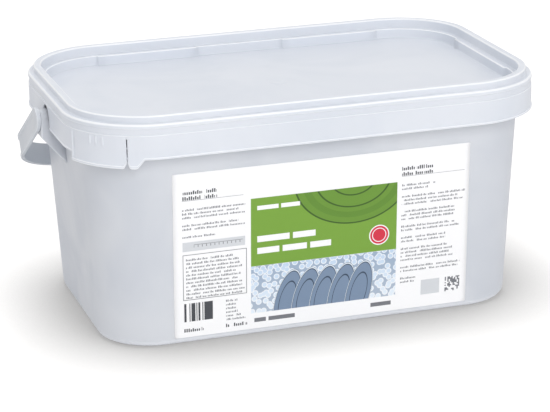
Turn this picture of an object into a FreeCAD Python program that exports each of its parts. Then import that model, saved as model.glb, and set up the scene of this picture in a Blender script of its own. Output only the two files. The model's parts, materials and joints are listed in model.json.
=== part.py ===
"""Rectangular plastic tub with a press-on lid, a tear tab, a swinging bail and a front label.

Units are millimetres, +Z is up, and the origin is the centre of the base on the surface it
stands on. X runs along the long sides, and the labelled front faces -Y.

Every level of the tub and the lid is a rounded rectangle that grows or shrinks evenly from the
outline of the lid's raised rim, so all corners share four centres. The sheet holds the driving
sizes, and each sketch takes its own sizes from it by expression.
"""
import FreeCAD, Part
import math
import os
import re

import Sketcher

doc = FreeCAD.newDocument("tub")
sheet = doc.addObject("Spreadsheet::Sheet", "Sizes")

SIZES = [
    ("rim_length", 290.0, "length over the lid's raised rim"),
    ("rim_width", 182.0, "width over the lid's raised rim"),
    ("rim_corner", 47.1, "corner radius of the lid's raised rim"),
    ("wall", 1.6, "wall of the tub"),
    ("floor_thick", 2.2, "floor of the tub"),
    ("base_inset", 12.6, "base outline inside the rim outline"),
    ("wall_flare", 7.0, "how far the wall leans out from the base to the collar"),
    ("base_round", 4.8, "round along the bottom edge"),
    ("foot_width", 7.0, "width of the ring that the tub stands on"),
    ("foot_depth", 1.2, "height of the hollow inside that ring"),
    ("skirt_bottom", 122.6, "height of the lower edge of the lid's skirt"),
    ("collar_gap", 1.4, "from the skirt's lower edge up to the tub's collar"),
    ("collar_thick", 1.4, "thickness of the collar"),
    ("lip_reach", 2.6, "how far the tub's lip stands out from its neck"),
    ("lip_thick", 2.0, "thickness of the lip"),
    ("lid_wall", 1.4, "wall of the lid"),
    ("skirt_proud", 3.6, "skirt outside the rim outline"),
    ("fit_gap", 0.4, "clearance between the lid and the tub"),
    ("rim_ridge", 4.8, "width of the raised rim"),
    ("rim_height", 4.2, "height of the raised rim over the shoulder"),
    ("shoulder_round", 1.3, "round of the shoulder"),
    ("rim_round", 0.8, "round of the raised rim"),
    ("skirt_height", 21.2, "height of the skirt up to the shoulder"),
    ("band_low", 14.4, "from the skirt's lower edge up to the sunk band"),
    ("band_high", 4.0, "height of the sunk band"),
    ("band_depth", 0.5, "depth of the sunk band"),
    ("bead_proud", 0.5, "bead along the skirt's lower edge"),
    ("bead_height", 1.2, "height of that bead"),
    ("ledge_drop", 6.2, "from the rim's top down to the ledge"),
    ("ledge_width", 2.8, "width of the ledge"),
    ("panel_drop", 12.6, "from the rim's top down to the panel"),
    ("lug_proud", 1.7, "stacking lugs proud of the panel's wall"),
    ("lug_inner", 30.0, "from the middle to the near end of a long-side lug"),
    ("lug_outer", 96.0, "from the middle to the far end of a long-side lug"),
    ("lug_side", 41.0, "half length of a short-side lug"),
    ("catch_proud", 0.6, "catch bead inside the skirt"),
    ("catch_height", 0.8, "height of the catch bead"),
    ("tab_drop", 5.3, "tear tab below the skirt's lower edge"),
    ("tab_start", 72.0, "angle of the tab's left end round the corner"),
    ("tab_end", 15.0, "angle of the tab's right end round the corner"),
    ("tab_slope", 4.7, "run of the tab's slanted right end"),
    ("slit_angle", 26.6, "angle of the tab's slit round the corner"),
    ("slit_width", 0.6, "width of the slit"),
    ("slit_height", 12.6, "how far the slit runs up the skirt"),
    ("bridge", 0.9, "height of each bridge left across the slit"),
    ("vee_left", 2.2, "notch under the slit, to the slit's left"),
    ("vee_right", 1.7, "notch under the slit, to the slit's right"),
    ("vee_drop", 1.0, "top of that notch below the skirt's lower edge"),
    ("grip_start", 16.6, "angle from the slit to the first grip rib"),
    ("grip_pitch", 5.0, "angle from one grip rib to the next"),
    ("grip_width", 1.0, "angle that a grip rib takes up"),
    ("grip_rise", 3.6, "lower end of the grip ribs above the pivot"),
    ("grip_height", 4.6, "height of the grip ribs on the tab"),
    ("grip_proud", 0.6, "grip ribs proud of the skirt"),
    ("pivot_rise", 4.7, "pivot above the skirt's lower edge"),
    ("ear_half", 6.0, "half width of an ear, and radius of its round top"),
    ("ear_proud", 4.5, "ear outside the skirt"),
    ("ear_flat", 10.7, "flat part of the ear's face below the pivot"),
    ("ear_slope", 18.0, "height of the ear's slanted underside"),
    ("stud_radius", 3.0, "radius of the bail's studs"),
    ("stud_gap", 0.06, "radial running clearance of a stud in its bore"),
    ("stud_length", 7.4, "length of a stud"),
    ("bore_depth", 8.6, "depth of the bore in an ear"),
    ("notch_gap", 2.5, "clearance of the skirt's notch round an ear"),
    ("bail_gap", 0.3, "clearance between a bail arm and its ear"),
    ("bail_thick", 2.4, "thickness of the bail's strap"),
    ("bail_width", 14.5, "width of the bail's strap"),
    ("bail_reach", 102.6, "from the pivot to the outside of the bail's cross-piece"),
    ("bail_corner", 44.0, "outer corner radius of the bail"),
    ("bail_rest", 30.0, "angle of the lowered bail below level"),
    ("bail_edge", 1.9, "raised edge along the strap"),
    ("bail_channel", 0.6, "depth of the strap's channel"),
    ("label_width", 188.2, "width of the label"),
    ("label_low", 4.6, "lower edge of the label above the base"),
    ("label_high", 104.9, "height of the label"),
    ("label_shift", 1.0, "label's middle to the right of the tub's middle"),
    ("label_corner", 0.8, "corner radius of the label"),
    ("label_thick", 0.2, "thickness of the label"),
]
for row, (alias, number, meaning) in enumerate(SIZES, start=1):
    sheet.set("A%d" % row, alias)
    sheet.set("B%d" % row, "%g" % number)
    sheet.set("C%d" % row, meaning)
    sheet.setAlias("B%d" % row, alias)

# Sizes that follow from the driving ones, as formulas in the same sheet.
DERIVED = [
    ("rim_top", "skirt_bottom + skirt_height + rim_height", "top of the lid"),
    ("shoulder", "skirt_bottom + skirt_height", "height of the shoulder"),
    ("collar_low", "skirt_bottom + collar_gap", "underside of the collar"),
    ("collar_top", "collar_low + collar_thick", "top of the collar"),
    ("lip_top", "shoulder - lid_wall - fit_gap", "top of the tub"),
    ("skirt_in", "skirt_proud - lid_wall", "skirt's inner face, outside the rim outline"),
    ("plug_in", "-rim_ridge", "visible wall of the recess"),
    ("plug_out", "plug_in + lid_wall", "its face towards the tub's neck"),
    ("neck_in", "plug_out + fit_gap", "inner face of the tub's neck"),
    ("neck_out", "neck_in + wall", "outer face of the tub's neck"),
    ("ledge_in", "plug_in - ledge_width", "visible wall between the ledge and the panel"),
    ("ledge_top", "rim_top - ledge_drop", "height of the ledge"),
    ("panel_top", "rim_top - panel_drop", "height of the panel"),
    ("mouth", "wall_flare - base_inset", "top of the leaning wall, outside the rim outline"),
    ("draft", "atan(wall_flare / skirt_bottom)", "lean of the wall"),
    ("pivot_height", "skirt_bottom + pivot_rise", "height of the pivot"),
    ("ear_face", "rim_length / 2 + skirt_proud + ear_proud", "ear's face from the middle"),
    ("arm_face", "ear_face + bail_gap", "inner face of a bail arm from the middle"),
    ("bail_half", "arm_face + bail_thick", "outer face of a bail arm from the middle"),
    ("tab_low", "skirt_bottom - tab_drop", "lower edge of the tear tab"),
    ("corner_x", "rim_length / 2 - rim_corner", "corner centre from the middle, along X"),
    ("corner_y", "rim_width / 2 - rim_corner", "corner centre from the middle, along Y"),
]
for row, (alias, formula, meaning) in enumerate(DERIVED, start=len(SIZES) + 2):
    sheet.set("A%d" % row, alias)
    sheet.set("B%d" % row, "=" + formula)
    sheet.set("C%d" % row, meaning)
    sheet.setAlias("B%d" % row, alias)
doc.recompute()

NAMES = [entry[0] for entry in SIZES + DERIVED]


def size(alias):
    """Value of one cell of the sheet as a plain number."""
    value = getattr(sheet, alias)
    return float(getattr(value, "Value", value))


def bound(formula):
    """The formula with every cell name pointed at the sheet."""
    return re.sub(r"\b(%s)\b" % "|".join(NAMES), r"Sizes.\1", formula)


def number_of(formula):
    """The formula's value now, used to draw a sketch near its solved shape."""
    value = sheet.evalExpression(bound(formula))
    return float(getattr(value, "Value", value))


def new_body(label):
    body = doc.addObject("PartDesign::Body", label)
    body.Label = label
    return body


def origin_plane(body, role):
    for feature in body.Origin.OriginFeatures:
        if feature.Role == role:
            return feature
    raise RuntimeError("no plane " + role)


def new_sketch(body, name, role="XY_Plane", offset="0"):
    """A sketch on one of the body's own planes, moved along the plane's normal by a formula."""
    sketch = body.newObject("Sketcher::SketchObject", name)
    sketch.AttachmentSupport = [(origin_plane(body, role), "")]
    sketch.MapMode = "FlatFace"
    sketch.setExpression("AttachmentOffset.Base.z", bound(offset))
    doc.recompute()
    return sketch


def pin_point(sketch, geometry, end, across, along):
    """Ties one end of a line or arc to formulas for its two coordinates."""
    for kind, formula in (("DistanceX", across), ("DistanceY", along)):
        value = number_of(formula)
        index = sketch.addConstraint(Sketcher.Constraint(kind, -1, 1, geometry, end, value))
        sketch.setExpression("Constraints[%d]" % index, bound(formula))


def draw_outline(sketch, points):
    """A closed outline. Each point is (across, along) or (across, along, radius), as formulas.
    A radius makes the stretch to the next point an arc, which bulges to the right of travel,
    or to the left if the radius is negative."""
    count = len(points)
    corners = [FreeCAD.Vector(number_of(point[0]), number_of(point[1]), 0) for point in points]
    first = sketch.GeometryCount
    ends = []
    for index, point in enumerate(points):
        start, finish = corners[index], corners[(index + 1) % count]
        if len(point) == 2:
            sketch.addGeometry(Part.LineSegment(start, finish), False)
            ends.append((1, 2))
            continue
        radius = number_of(point[2])
        if radius < 0:
            start, finish = finish, start
        sketch.addGeometry(turning_arc(start, finish, abs(radius)), False)
        ends.append((1, 2) if radius > 0 else (2, 1))
    for index in range(count):
        after = (index + 1) % count
        sketch.addConstraint(Sketcher.Constraint("Coincident", first + index, ends[index][1],
                                                 first + after, ends[after][0]))
    for index, point in enumerate(points):
        pin_point(sketch, first + index, ends[index][0], point[0], point[1])
        if len(point) == 3:
            radius = Sketcher.Constraint("Radius", first + index, abs(number_of(point[2])))
            place = sketch.addConstraint(radius)
            sketch.setExpression("Constraints[%d]" % place, bound("abs(%s)" % point[2]))


def turning_arc(start, finish, radius):
    """The arc of under half a turn that goes anticlockwise from one point to another."""
    chord = finish - start
    inward = FreeCAD.Vector(-chord.y, chord.x, 0).normalize()
    rise = math.sqrt(max(radius ** 2 - chord.Length ** 2 / 4, 0))
    centre = (start + finish) * 0.5 + inward * rise
    angles = [math.atan2(point.y - centre.y, point.x - centre.x) for point in (start, finish)]
    if angles[1] < angles[0]:
        angles[1] += 2 * math.pi
    circle = Part.Circle(centre, FreeCAD.Vector(0, 0, 1), radius)
    return Part.ArcOfCircle(circle, angles[0], angles[1])


def draw_ring(sketch, grow):
    """The rim outline grown by a formula: four lines and four tangent arcs."""
    half_x = number_of("rim_length / 2 + " + grow)
    half_y = number_of("rim_width / 2 + " + grow)
    radius = number_of("rim_corner + " + grow)
    first = sketch.GeometryCount
    inner_x, inner_y = half_x - radius, half_y - radius
    up = FreeCAD.Vector(0, 0, 1)
    lines = [((-inner_x, -half_y), (inner_x, -half_y)), ((half_x, -inner_y), (half_x, inner_y)),
             ((inner_x, half_y), (-inner_x, half_y)), ((-half_x, inner_y), (-half_x, -inner_y))]
    centres = [(inner_x, -inner_y), (inner_x, inner_y), (-inner_x, inner_y), (-inner_x, -inner_y)]
    for index in range(4):
        (x_one, y_one), (x_two, y_two) = lines[index]
        sketch.addGeometry(Part.LineSegment(FreeCAD.Vector(x_one, y_one, 0),
                                            FreeCAD.Vector(x_two, y_two, 0)), False)
        circle = Part.Circle(FreeCAD.Vector(centres[index][0], centres[index][1], 0), up, radius)
        start = (index - 1) * math.pi / 2
        sketch.addGeometry(Part.ArcOfCircle(circle, start, start + math.pi / 2), False)
    for index in range(8):
        here, after = first + index, first + (index + 1) % 8
        sketch.addConstraint(Sketcher.Constraint("Tangent", here, 2, after, 1))
    for index in (0, 4):
        sketch.addConstraint(Sketcher.Constraint("Horizontal", first + index))
        sketch.addConstraint(Sketcher.Constraint("Vertical", first + index + 2))
    for index in (3, 5, 7):
        sketch.addConstraint(Sketcher.Constraint("Equal", first + 1, first + index))
    spans = [("Radius", (first + 1,), radius, "rim_corner + " + grow),
             ("DistanceY", (first, 1, -1, 1), half_y, "rim_width / 2 + " + grow),
             ("DistanceX", (-1, 1, first + 2, 1), half_x, "rim_length / 2 + " + grow),
             ("DistanceY", (-1, 1, first + 4, 1), half_y, "rim_width / 2 + " + grow),
             ("DistanceX", (first + 6, 1, -1, 1), half_x, "rim_length / 2 + " + grow)]
    for kind, targets, value, formula in spans:
        index = sketch.addConstraint(Sketcher.Constraint(kind, *targets, value))
        sketch.setExpression("Constraints[%d]" % index, bound(formula))


def draw_circle(sketch, radius, across="0", along="0"):
    centre = FreeCAD.Vector(number_of(across), number_of(along), 0)
    circle = Part.Circle(centre, FreeCAD.Vector(0, 0, 1), number_of(radius))
    geometry = sketch.addGeometry(circle, False)
    pin_point(sketch, geometry, 3, across, along)
    index = sketch.addConstraint(Sketcher.Constraint("Radius", geometry, number_of(radius)))
    sketch.setExpression("Constraints[%d]" % index, bound(radius))


def draw_sector(sketch, inner, outer, start, finish):
    """A piece of ring round the front left corner's centre, between two angles that are
    measured from the front towards the left side."""
    def place(radius, angle):
        across = "-corner_x - ( %s ) * sin(%s)" % (radius, angle)
        along = "-corner_y - ( %s ) * cos(%s)" % (radius, angle)
        return across, along
    draw_outline(sketch, [place(inner, start) + (inner,), place(inner, finish),
                          place(outer, finish) + ("-( %s )" % outer,), place(outer, start)])


def extrude(body, sketch, kind, length, taper=None, back=False, both=False):
    """A pad or pocket of a sketch, with its length and taper as formulas."""
    feature = body.newObject("PartDesign::" + kind, sketch.Name + "_" + kind.lower())
    feature.Profile = sketch
    feature.setExpression("Length", bound(length))
    feature.Reversed = back
    feature.Midplane = both
    if taper:
        feature.setExpression("TaperAngle", bound(taper))
    doc.recompute()
    return feature


def ring_feature(body, name, kind, level, length, outer, inner=None, taper=None):
    """A pad or pocket upwards from one level, of one outline or of the band between two."""
    sketch = new_sketch(body, name, "XY_Plane", level)
    draw_ring(sketch, outer)
    if inner:
        draw_ring(sketch, inner)
    doc.recompute()
    return extrude(body, sketch, kind, length, taper, back=(kind == "Pocket"))


def edges_at(feature, height, grow):
    """Names of the edges that lie level at a height, on the rim outline grown by a number."""
    found = []
    half_x = size("rim_length") / 2 + grow
    half_y = size("rim_width") / 2 + grow
    reach = size("rim_corner") + grow
    for index, edge in enumerate(feature.Shape.Edges, start=1):
        middle = edge.valueAt((edge.FirstParameter + edge.LastParameter) / 2)
        box = edge.BoundBox
        if box.ZLength > 0.01 or abs(box.ZMin - height) > 0.01:
            continue
        off_x = abs(middle.x) - (half_x - reach)
        off_y = abs(middle.y) - (half_y - reach)
        if off_x > 0 and off_y > 0:
            distance = math.hypot(off_x, off_y) - reach
        else:
            distance = max(abs(middle.x) - half_x, abs(middle.y) - half_y)
        if abs(distance) < 0.02:
            found.append("Edge%d" % index)
    return found


def round_edges(body, name, base, height, grow, radius):
    """A fillet along the whole loop at one height and one outline."""
    names = edges_at(base, number_of(height), number_of(grow))
    if not names:
        raise RuntimeError("no edges for " + name)
    fillet = body.newObject("PartDesign::Fillet", name)
    fillet.Base = (base, names)
    fillet.setExpression("Radius", bound(radius))
    doc.recompute()
    return fillet


def make_tub():
    """One moulding: leaning wall, foot ring, collar, neck with its lip, and two ears."""
    body = new_body("tub")
    shell = ring_feature(body, "wall_outline", "Pad", "0", "collar_low", "-base_inset", None, "draft")
    round_edges(body, "bottom_round", shell, "0", "-base_inset", "base_round")
    ring_feature(body, "collar", "Pad", "collar_low", "collar_thick", "skirt_in - fit_gap")
    ring_feature(body, "neck", "Pad", "collar_top", "lip_top - collar_top", "neck_out")
    lip = ring_feature(body, "lip", "Pad", "lip_top - lip_thick", "lip_thick",
                       "neck_out + lip_reach")
    round_edges(body, "lip_round", lip, "lip_top", "neck_out + lip_reach", "lip_thick / 3")
    for side in ("", "-"):
        add_ear(body, side)
    ring_feature(body, "neck_hollow", "Pocket", "collar_top", "lip_top - collar_top", "neck_in")
    sketch = new_sketch(body, "hollow", "XY_Plane", "collar_top")
    draw_ring(sketch, "mouth - wall")
    doc.recompute()
    hollow = extrude(body, sketch, "Pocket", "collar_top - floor_thick - foot_depth", "-draft")
    inner_base = "mouth - wall - ( collar_top - floor_thick - foot_depth ) * wall_flare / skirt_bottom"
    round_edges(body, "floor_round", hollow, "floor_thick + foot_depth", inner_base,
                "base_round - wall")
    ring_feature(body, "foot_hollow", "Pocket", "0", "foot_depth",
                 "-base_inset - base_round - foot_width")
    for side in ("", "-"):
        add_bore(body, side)
    return body


def add_ear(body, side):
    """An ear with a round top and a slanted underside, grown from the wall before the hollow
    is cut. It is drawn looking along X, then its underside is cut looking along Y."""
    name = "ear_left" if side else "ear_right"
    low = "( pivot_height - ear_flat - ear_slope )"
    sketch = new_sketch(body, name, "YZ_Plane", side + "ear_face")
    draw_outline(sketch, [("-ear_half", low), ("ear_half", low),
                          ("ear_half", "pivot_height", "ear_half"),
                          ("0", "pivot_height + ear_half", "ear_half"),
                          ("-ear_half", "pivot_height")])
    doc.recompute()
    extrude(body, sketch, "Pad", "ear_face - rim_length / 2 - mouth + wall / 2", None,
            back=not side)
    under = new_sketch(body, name + "_under", "XZ_Plane", "0")
    face = "%s( ear_face + ear_proud )" % side
    edge = "%s( ear_face )" % side
    wall_foot = "%s( rim_length / 2 + mouth - wall )" % side
    draw_outline(under, [(edge, "pivot_height - ear_flat"), (face, "pivot_height - ear_flat"),
                         (face, low), (wall_foot, low)])
    doc.recompute()
    extrude(body, under, "Pocket", "3 * ear_half", None, both=True)


def add_bore(body, side):
    name = "bore_left" if side else "bore_right"
    sketch = new_sketch(body, name, "YZ_Plane", side + "ear_face")
    draw_circle(sketch, "stud_radius + stud_gap", "0", "pivot_height")
    doc.recompute()
    extrude(body, sketch, "Pocket", "bore_depth", None, back=bool(side))


def make_lid():
    """One moulding: skirt with shoulder, raised rim, stepped recess, lugs and tear tab."""
    body = new_body("lid")
    skirt = ring_feature(body, "skirt", "Pad", "skirt_bottom", "skirt_height", "skirt_proud")
    round_edges(body, "shoulder_edge", skirt, "shoulder", "skirt_proud", "shoulder_round")
    rim = ring_feature(body, "rim", "Pad", "shoulder", "rim_height", "0")
    round_edges(body, "rim_edge", rim, "rim_top", "0", "rim_round")
    recess = ring_feature(body, "recess", "Pocket", "ledge_top", "ledge_drop", "plug_in")
    round_edges(body, "recess_edge", recess, "rim_top", "plug_in", "rim_round")
    ring_feature(body, "panel_recess", "Pocket", "panel_top", "panel_drop - ledge_drop", "ledge_in")
    ring_feature(body, "band", "Pocket", "skirt_bottom + band_low", "band_high",
                 "skirt_proud + bead_proud", "skirt_proud - band_depth")
    ring_feature(body, "bead", "Pad", "skirt_bottom", "bead_height",
                 "skirt_proud + bead_proud", "skirt_in")
    hollow_lid(body)
    ring_feature(body, "catch", "Pad", "lip_top - lip_thick - fit_gap - catch_height",
                 "catch_height", "skirt_in + lid_wall / 4", "skirt_in - catch_proud")
    add_lugs(body)
    for side in ("", "-"):
        cut_notch(body, side)
    add_tab(body)
    return body


def hollow_lid(body):
    """The underside, cut in four levels so that every wall keeps the lid's thickness."""
    panel_under = "( panel_top - lid_wall )"
    ledge_under = "( ledge_top - lid_wall )"
    shoulder_under = "( shoulder - lid_wall )"
    rim_under = "( rim_top - lid_wall )"
    ring_feature(body, "under_panel", "Pocket", "skirt_bottom", panel_under + " - skirt_bottom",
                 "skirt_in")
    ring_feature(body, "round_panel", "Pocket", panel_under, ledge_under + " - " + panel_under,
                 "skirt_in", "ledge_in + lid_wall")
    ring_feature(body, "round_plug", "Pocket", ledge_under, shoulder_under + " - " + ledge_under,
                 "skirt_in", "plug_out")
    ring_feature(body, "in_rim", "Pocket", shoulder_under, rim_under + " - " + shoulder_under,
                 "-lid_wall", "plug_out")


def add_lugs(body):
    """Six stacking lugs on the wall round the panel: two on each long side, one on each short."""
    sketch = new_sketch(body, "lugs", "XY_Plane", "panel_top - lid_wall / 2")
    long_in = "( rim_width / 2 + ledge_in - lug_proud )"
    long_out = "( rim_width / 2 + ledge_in + lid_wall / 2 )"
    short_in = "( rim_length / 2 + ledge_in - lug_proud )"
    short_out = "( rim_length / 2 + ledge_in + lid_wall / 2 )"
    for across in ("", "-"):
        for along in ("", "-"):
            draw_outline(sketch, [(across + "lug_inner", along + long_in),
                                  (across + "lug_outer", along + long_in),
                                  (across + "lug_outer", along + long_out),
                                  (across + "lug_inner", along + long_out)])
        draw_outline(sketch, [(across + short_in, "-lug_side"), (across + short_out, "-lug_side"),
                              (across + short_out, "lug_side"), (across + short_in, "lug_side")])
    doc.recompute()
    extrude(body, sketch, "Pad", "ledge_top - panel_top + lid_wall / 2")


def cut_notch(body, side):
    """A notch in the skirt round one ear, open at the bottom."""
    name = "notch_left" if side else "notch_right"
    half = "( ear_half + notch_gap )"
    low = "( tab_low - 1 )"
    sketch = new_sketch(body, name, "YZ_Plane", "%s( ear_face )" % side)
    draw_outline(sketch, [("-" + half, low), (half, low), (half, "pivot_height", half),
                          ("0", "pivot_height + " + half, half), ("-" + half, "pivot_height")])
    doc.recompute()
    extrude(body, sketch, "Pocket", "ear_proud + lid_wall + catch_proud + 1", None,
            back=bool(side))


GRIP_RIBS = 3


def add_tab(body):
    """The tear tab round the front left corner, with its slit, grip ribs and weak line."""
    inner = "rim_corner + skirt_in"
    outer = "rim_corner + skirt_proud"
    proud = "rim_corner + skirt_proud + bead_proud"
    clear = "bead_proud + 1"
    sketch = new_sketch(body, "tab_bead_gap", "XY_Plane", "skirt_bottom - 1")
    draw_sector(sketch, outer, "%s + %s" % (outer, clear), "tab_start", "tab_end")
    doc.recompute()
    extrude(body, sketch, "Pocket", "bead_height + 2", None, back=True)
    sketch = new_sketch(body, "tab", "XY_Plane", "tab_low")
    draw_sector(sketch, inner, outer, "tab_start", "tab_end")
    doc.recompute()
    extrude(body, sketch, "Pad", "tab_drop + lid_wall")
    sketch = new_sketch(body, "tab_bead", "XY_Plane", "tab_low")
    draw_sector(sketch, inner, proud, "tab_start", "slit_angle")
    doc.recompute()
    extrude(body, sketch, "Pad", "bead_height")
    cut_slit(body)
    sketch = new_sketch(body, "grips", "XY_Plane", "pivot_height + grip_rise")
    for rib in range(GRIP_RIBS):
        start = "( slit_angle + grip_start + %d * grip_pitch )" % rib
        draw_sector(sketch, inner + " + lid_wall / 2", outer + " + grip_proud",
                    start + " + grip_width", start)
    doc.recompute()
    extrude(body, sketch, "Pad", "grip_height")
    sketch = new_sketch(body, "weak_line", "XY_Plane", "tab_low - 1")
    draw_sector(sketch, outer + " - band_depth", "%s + %s" % (outer, clear), "tab_start - 1", "tab_start - 2")
    doc.recompute()
    extrude(body, sketch, "Pocket", "tab_drop + band_low + 1", None, back=True)


def cut_slit(body):
    """Looking at the front: the slit in three lengths with bridges between, the notch under it,
    and the slanted right end of the tab."""
    sketch = new_sketch(body, "slit", "XZ_Plane", "rim_width / 2 + skirt_proud + 2")
    middle = "-corner_x - ( rim_corner + skirt_proud ) * sin(slit_angle)"
    left = middle + " - slit_width / 2"
    right = middle + " + slit_width / 2"
    step = "( ( tab_drop + slit_height ) / 3 )"
    levels = [("tab_low - 1", "tab_low + " + step),
              ("tab_low + %s + bridge" % step, "tab_low + 2 * " + step),
              ("tab_low + 2 * %s + bridge" % step, "skirt_bottom + slit_height")]
    for low, high in levels:
        draw_outline(sketch, [(left, low), (right, low), (right, high), (left, high)])
    doc.recompute()
    extrude(body, sketch, "Pocket", "rim_corner / 4")
    sketch = new_sketch(body, "tab_notches", "XZ_Plane", "rim_width / 2 + skirt_proud + 2")
    draw_outline(sketch, [(middle + " - vee_left", "tab_low - 1"),
                          (middle + " + vee_right", "tab_low - 1"),
                          (middle, "skirt_bottom - vee_drop")])
    end = "-corner_x - ( rim_corner + skirt_proud ) * sin(tab_end)"
    draw_outline(sketch, [(end + " - tab_slope", "tab_low - 1"), (end + " + 1", "tab_low - 1"),
                          (end + " + 1", "skirt_bottom"), (end, "skirt_bottom")])
    doc.recompute()
    extrude(body, sketch, "Pocket", "rim_corner / 4")


def strap_points(outer_in, start, corner_in):
    """Half outlines of the bail, as seen along its width: points of a U with round corners."""
    half = "( bail_half - %s )" % outer_in
    reach = "( bail_reach - %s )" % outer_in
    radius = "( bail_corner - %s )" % corner_in
    return [("-" + half, start), ("-" + half, reach + " - " + radius, "-" + radius),
            ("-%s + %s" % (half, radius), reach), ("%s - %s" % (half, radius), reach, "-" + radius),
            (half, reach + " - " + radius), (half, start)]


def make_bail():
    """A flat strap bent to a U, with an eye and an inward stud at each end. It is drawn level,
    with its pivot on X, and then lowered behind the tub."""
    body = new_body("bail_handle")
    sketch = new_sketch(body, "strap", "XY_Plane", "0")
    outer = strap_points("0", "0", "0")
    inner = strap_points("bail_thick", "0", "bail_thick")
    inward = [(point[0], point[1]) for point in reversed(inner)]
    inward[1] = inward[1] + ("( bail_corner - bail_thick )",)
    inward[3] = inward[3] + ("( bail_corner - bail_thick )",)
    draw_outline(sketch, outer + inward)
    doc.recompute()
    extrude(body, sketch, "Pad", "bail_width", None, both=True)
    sketch = new_sketch(body, "channel", "XY_Plane", "0")
    start = "bail_width / 2"
    outer = strap_points("-1", start, "-1")
    inner = strap_points("bail_channel", start, "bail_channel")
    inward = [(point[0], point[1]) for point in reversed(inner)]
    inward[1] = inward[1] + ("( bail_corner - bail_channel )",)
    inward[3] = inward[3] + ("( bail_corner - bail_channel )",)
    draw_outline(sketch, outer + inward)
    doc.recompute()
    extrude(body, sketch, "Pocket", "bail_width - 2 * bail_edge", None, both=True)
    for side in ("", "-"):
        name = "left" if side else "right"
        for part, radius, reach in (("eye", "bail_width / 2", "bail_thick"),
                                    ("stud", "stud_radius", "bail_thick + stud_length")):
            sketch = new_sketch(body, part + "_" + name, "YZ_Plane", "%sbail_half" % side)
            draw_circle(sketch, radius)
            doc.recompute()
            extrude(body, sketch, "Pad", reach, None, back=not side)
    body.setExpression("Placement.Base.z", bound("pivot_height"))
    body.setExpression("Placement.Rotation.Axis.x", "1")
    body.setExpression("Placement.Rotation.Axis.z", "0")
    body.setExpression("Placement.Rotation.Angle", bound("-bail_rest"))
    doc.recompute()
    return body


def make_label():
    """A thin printed label, flat on the front wall and leaning with it."""
    body = new_body("front_label")
    sketch = new_sketch(body, "label", "XZ_Plane", "0")
    left = "( label_shift - label_width / 2 )"
    right = "( label_shift + label_width / 2 )"
    low = "( label_low )"
    high = "( label_low + label_high )"
    turn = "-label_corner"
    draw_outline(sketch, [(left, low + " + label_corner"), (left, high + " - label_corner", turn),
                          (left + " + label_corner", high), (right + " - label_corner", high, turn),
                          (right, high + " - label_corner"), (right, low + " + label_corner", turn),
                          (right + " - label_corner", low), (left + " + label_corner", low, turn)])
    doc.recompute()
    extrude(body, sketch, "Pad", "label_thick")
    body.setExpression("Placement.Base.y", bound("-( rim_width / 2 - base_inset )"))
    body.setExpression("Placement.Rotation.Axis.x", "1")
    body.setExpression("Placement.Rotation.Axis.z", "0")
    body.setExpression("Placement.Rotation.Angle", bound("draft"))
    doc.recompute()
    return body


pieces = [make_tub(), make_lid(), make_bail(), make_label()]
doc.recompute()

for item in doc.Objects:
    if "Invalid" in item.State or "Error" in item.State:
        raise RuntimeError("%s is not valid: %s" % (item.Label, item.State))
for piece in pieces:
    shape = piece.Shape
    if shape.isNull() or not shape.isValid() or len(shape.Solids) != 1:
        raise RuntimeError("bad shape: " + piece.Label)

os.makedirs("parts", exist_ok=True)
for piece in pieces:
    box = piece.Shape.BoundBox
    print(piece.Label, "volume %.1f cm3" % (piece.Shape.Volume / 1000),
          "x %.1f..%.1f y %.1f..%.1f z %.1f..%.1f" % (box.XMin, box.XMax, box.YMin, box.YMax,
                                                      box.ZMin, box.ZMax))
    piece.Shape.exportStep("parts/%s.step" % piece.Label)
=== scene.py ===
# %% [markdown]
# A dishwasher tablet tub, in three mouldings and a label
#
# The real thing is a rectangular polypropylene tub with a press-on lid, a tear tab at one
# corner, a strap bail behind it and a printed film label on the front. Its look comes from
# soft, cloudy white plastic and from the thin bright lines that every rounded edge makes.
# So each moulding here is a surface worked out with numpy, whose edges have real radii,
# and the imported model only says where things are.

# %% Load the fixed frame
import json
import math

import bpy
import numpy as np
from mathutils import Matrix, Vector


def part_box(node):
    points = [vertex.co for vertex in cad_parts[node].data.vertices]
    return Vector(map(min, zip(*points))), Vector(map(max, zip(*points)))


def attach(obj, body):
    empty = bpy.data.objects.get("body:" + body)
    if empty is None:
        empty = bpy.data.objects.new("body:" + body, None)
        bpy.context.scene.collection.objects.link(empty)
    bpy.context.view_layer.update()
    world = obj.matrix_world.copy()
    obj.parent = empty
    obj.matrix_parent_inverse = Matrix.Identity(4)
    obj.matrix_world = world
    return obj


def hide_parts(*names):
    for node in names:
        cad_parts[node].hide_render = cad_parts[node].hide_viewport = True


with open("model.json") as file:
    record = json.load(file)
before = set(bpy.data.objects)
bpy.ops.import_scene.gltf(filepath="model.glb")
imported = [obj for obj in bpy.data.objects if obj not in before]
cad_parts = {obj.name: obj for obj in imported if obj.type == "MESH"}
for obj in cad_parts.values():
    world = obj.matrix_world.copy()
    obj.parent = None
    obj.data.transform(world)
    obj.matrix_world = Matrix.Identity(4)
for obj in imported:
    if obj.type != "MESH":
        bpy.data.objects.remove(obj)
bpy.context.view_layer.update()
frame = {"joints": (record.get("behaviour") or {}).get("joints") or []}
MM = 0.001


# %% [markdown]
# Sizes from the frame
#
# The lid and the tub share one outline: a rounded rectangle that grows or shrinks evenly.
# The outline of the lid's raised rim is the zero line, and a "reach" is a distance outside
# it. The frame's boxes give the overall sizes, and the reaches and the corner radius are
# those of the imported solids.

# %% Outline and heights, in millimetres
def box_mm(node):
    """Lowest and highest corner of a frame node, in millimetres."""
    low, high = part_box(node)
    return np.array(low) / MM, np.array(high) / MM


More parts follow.
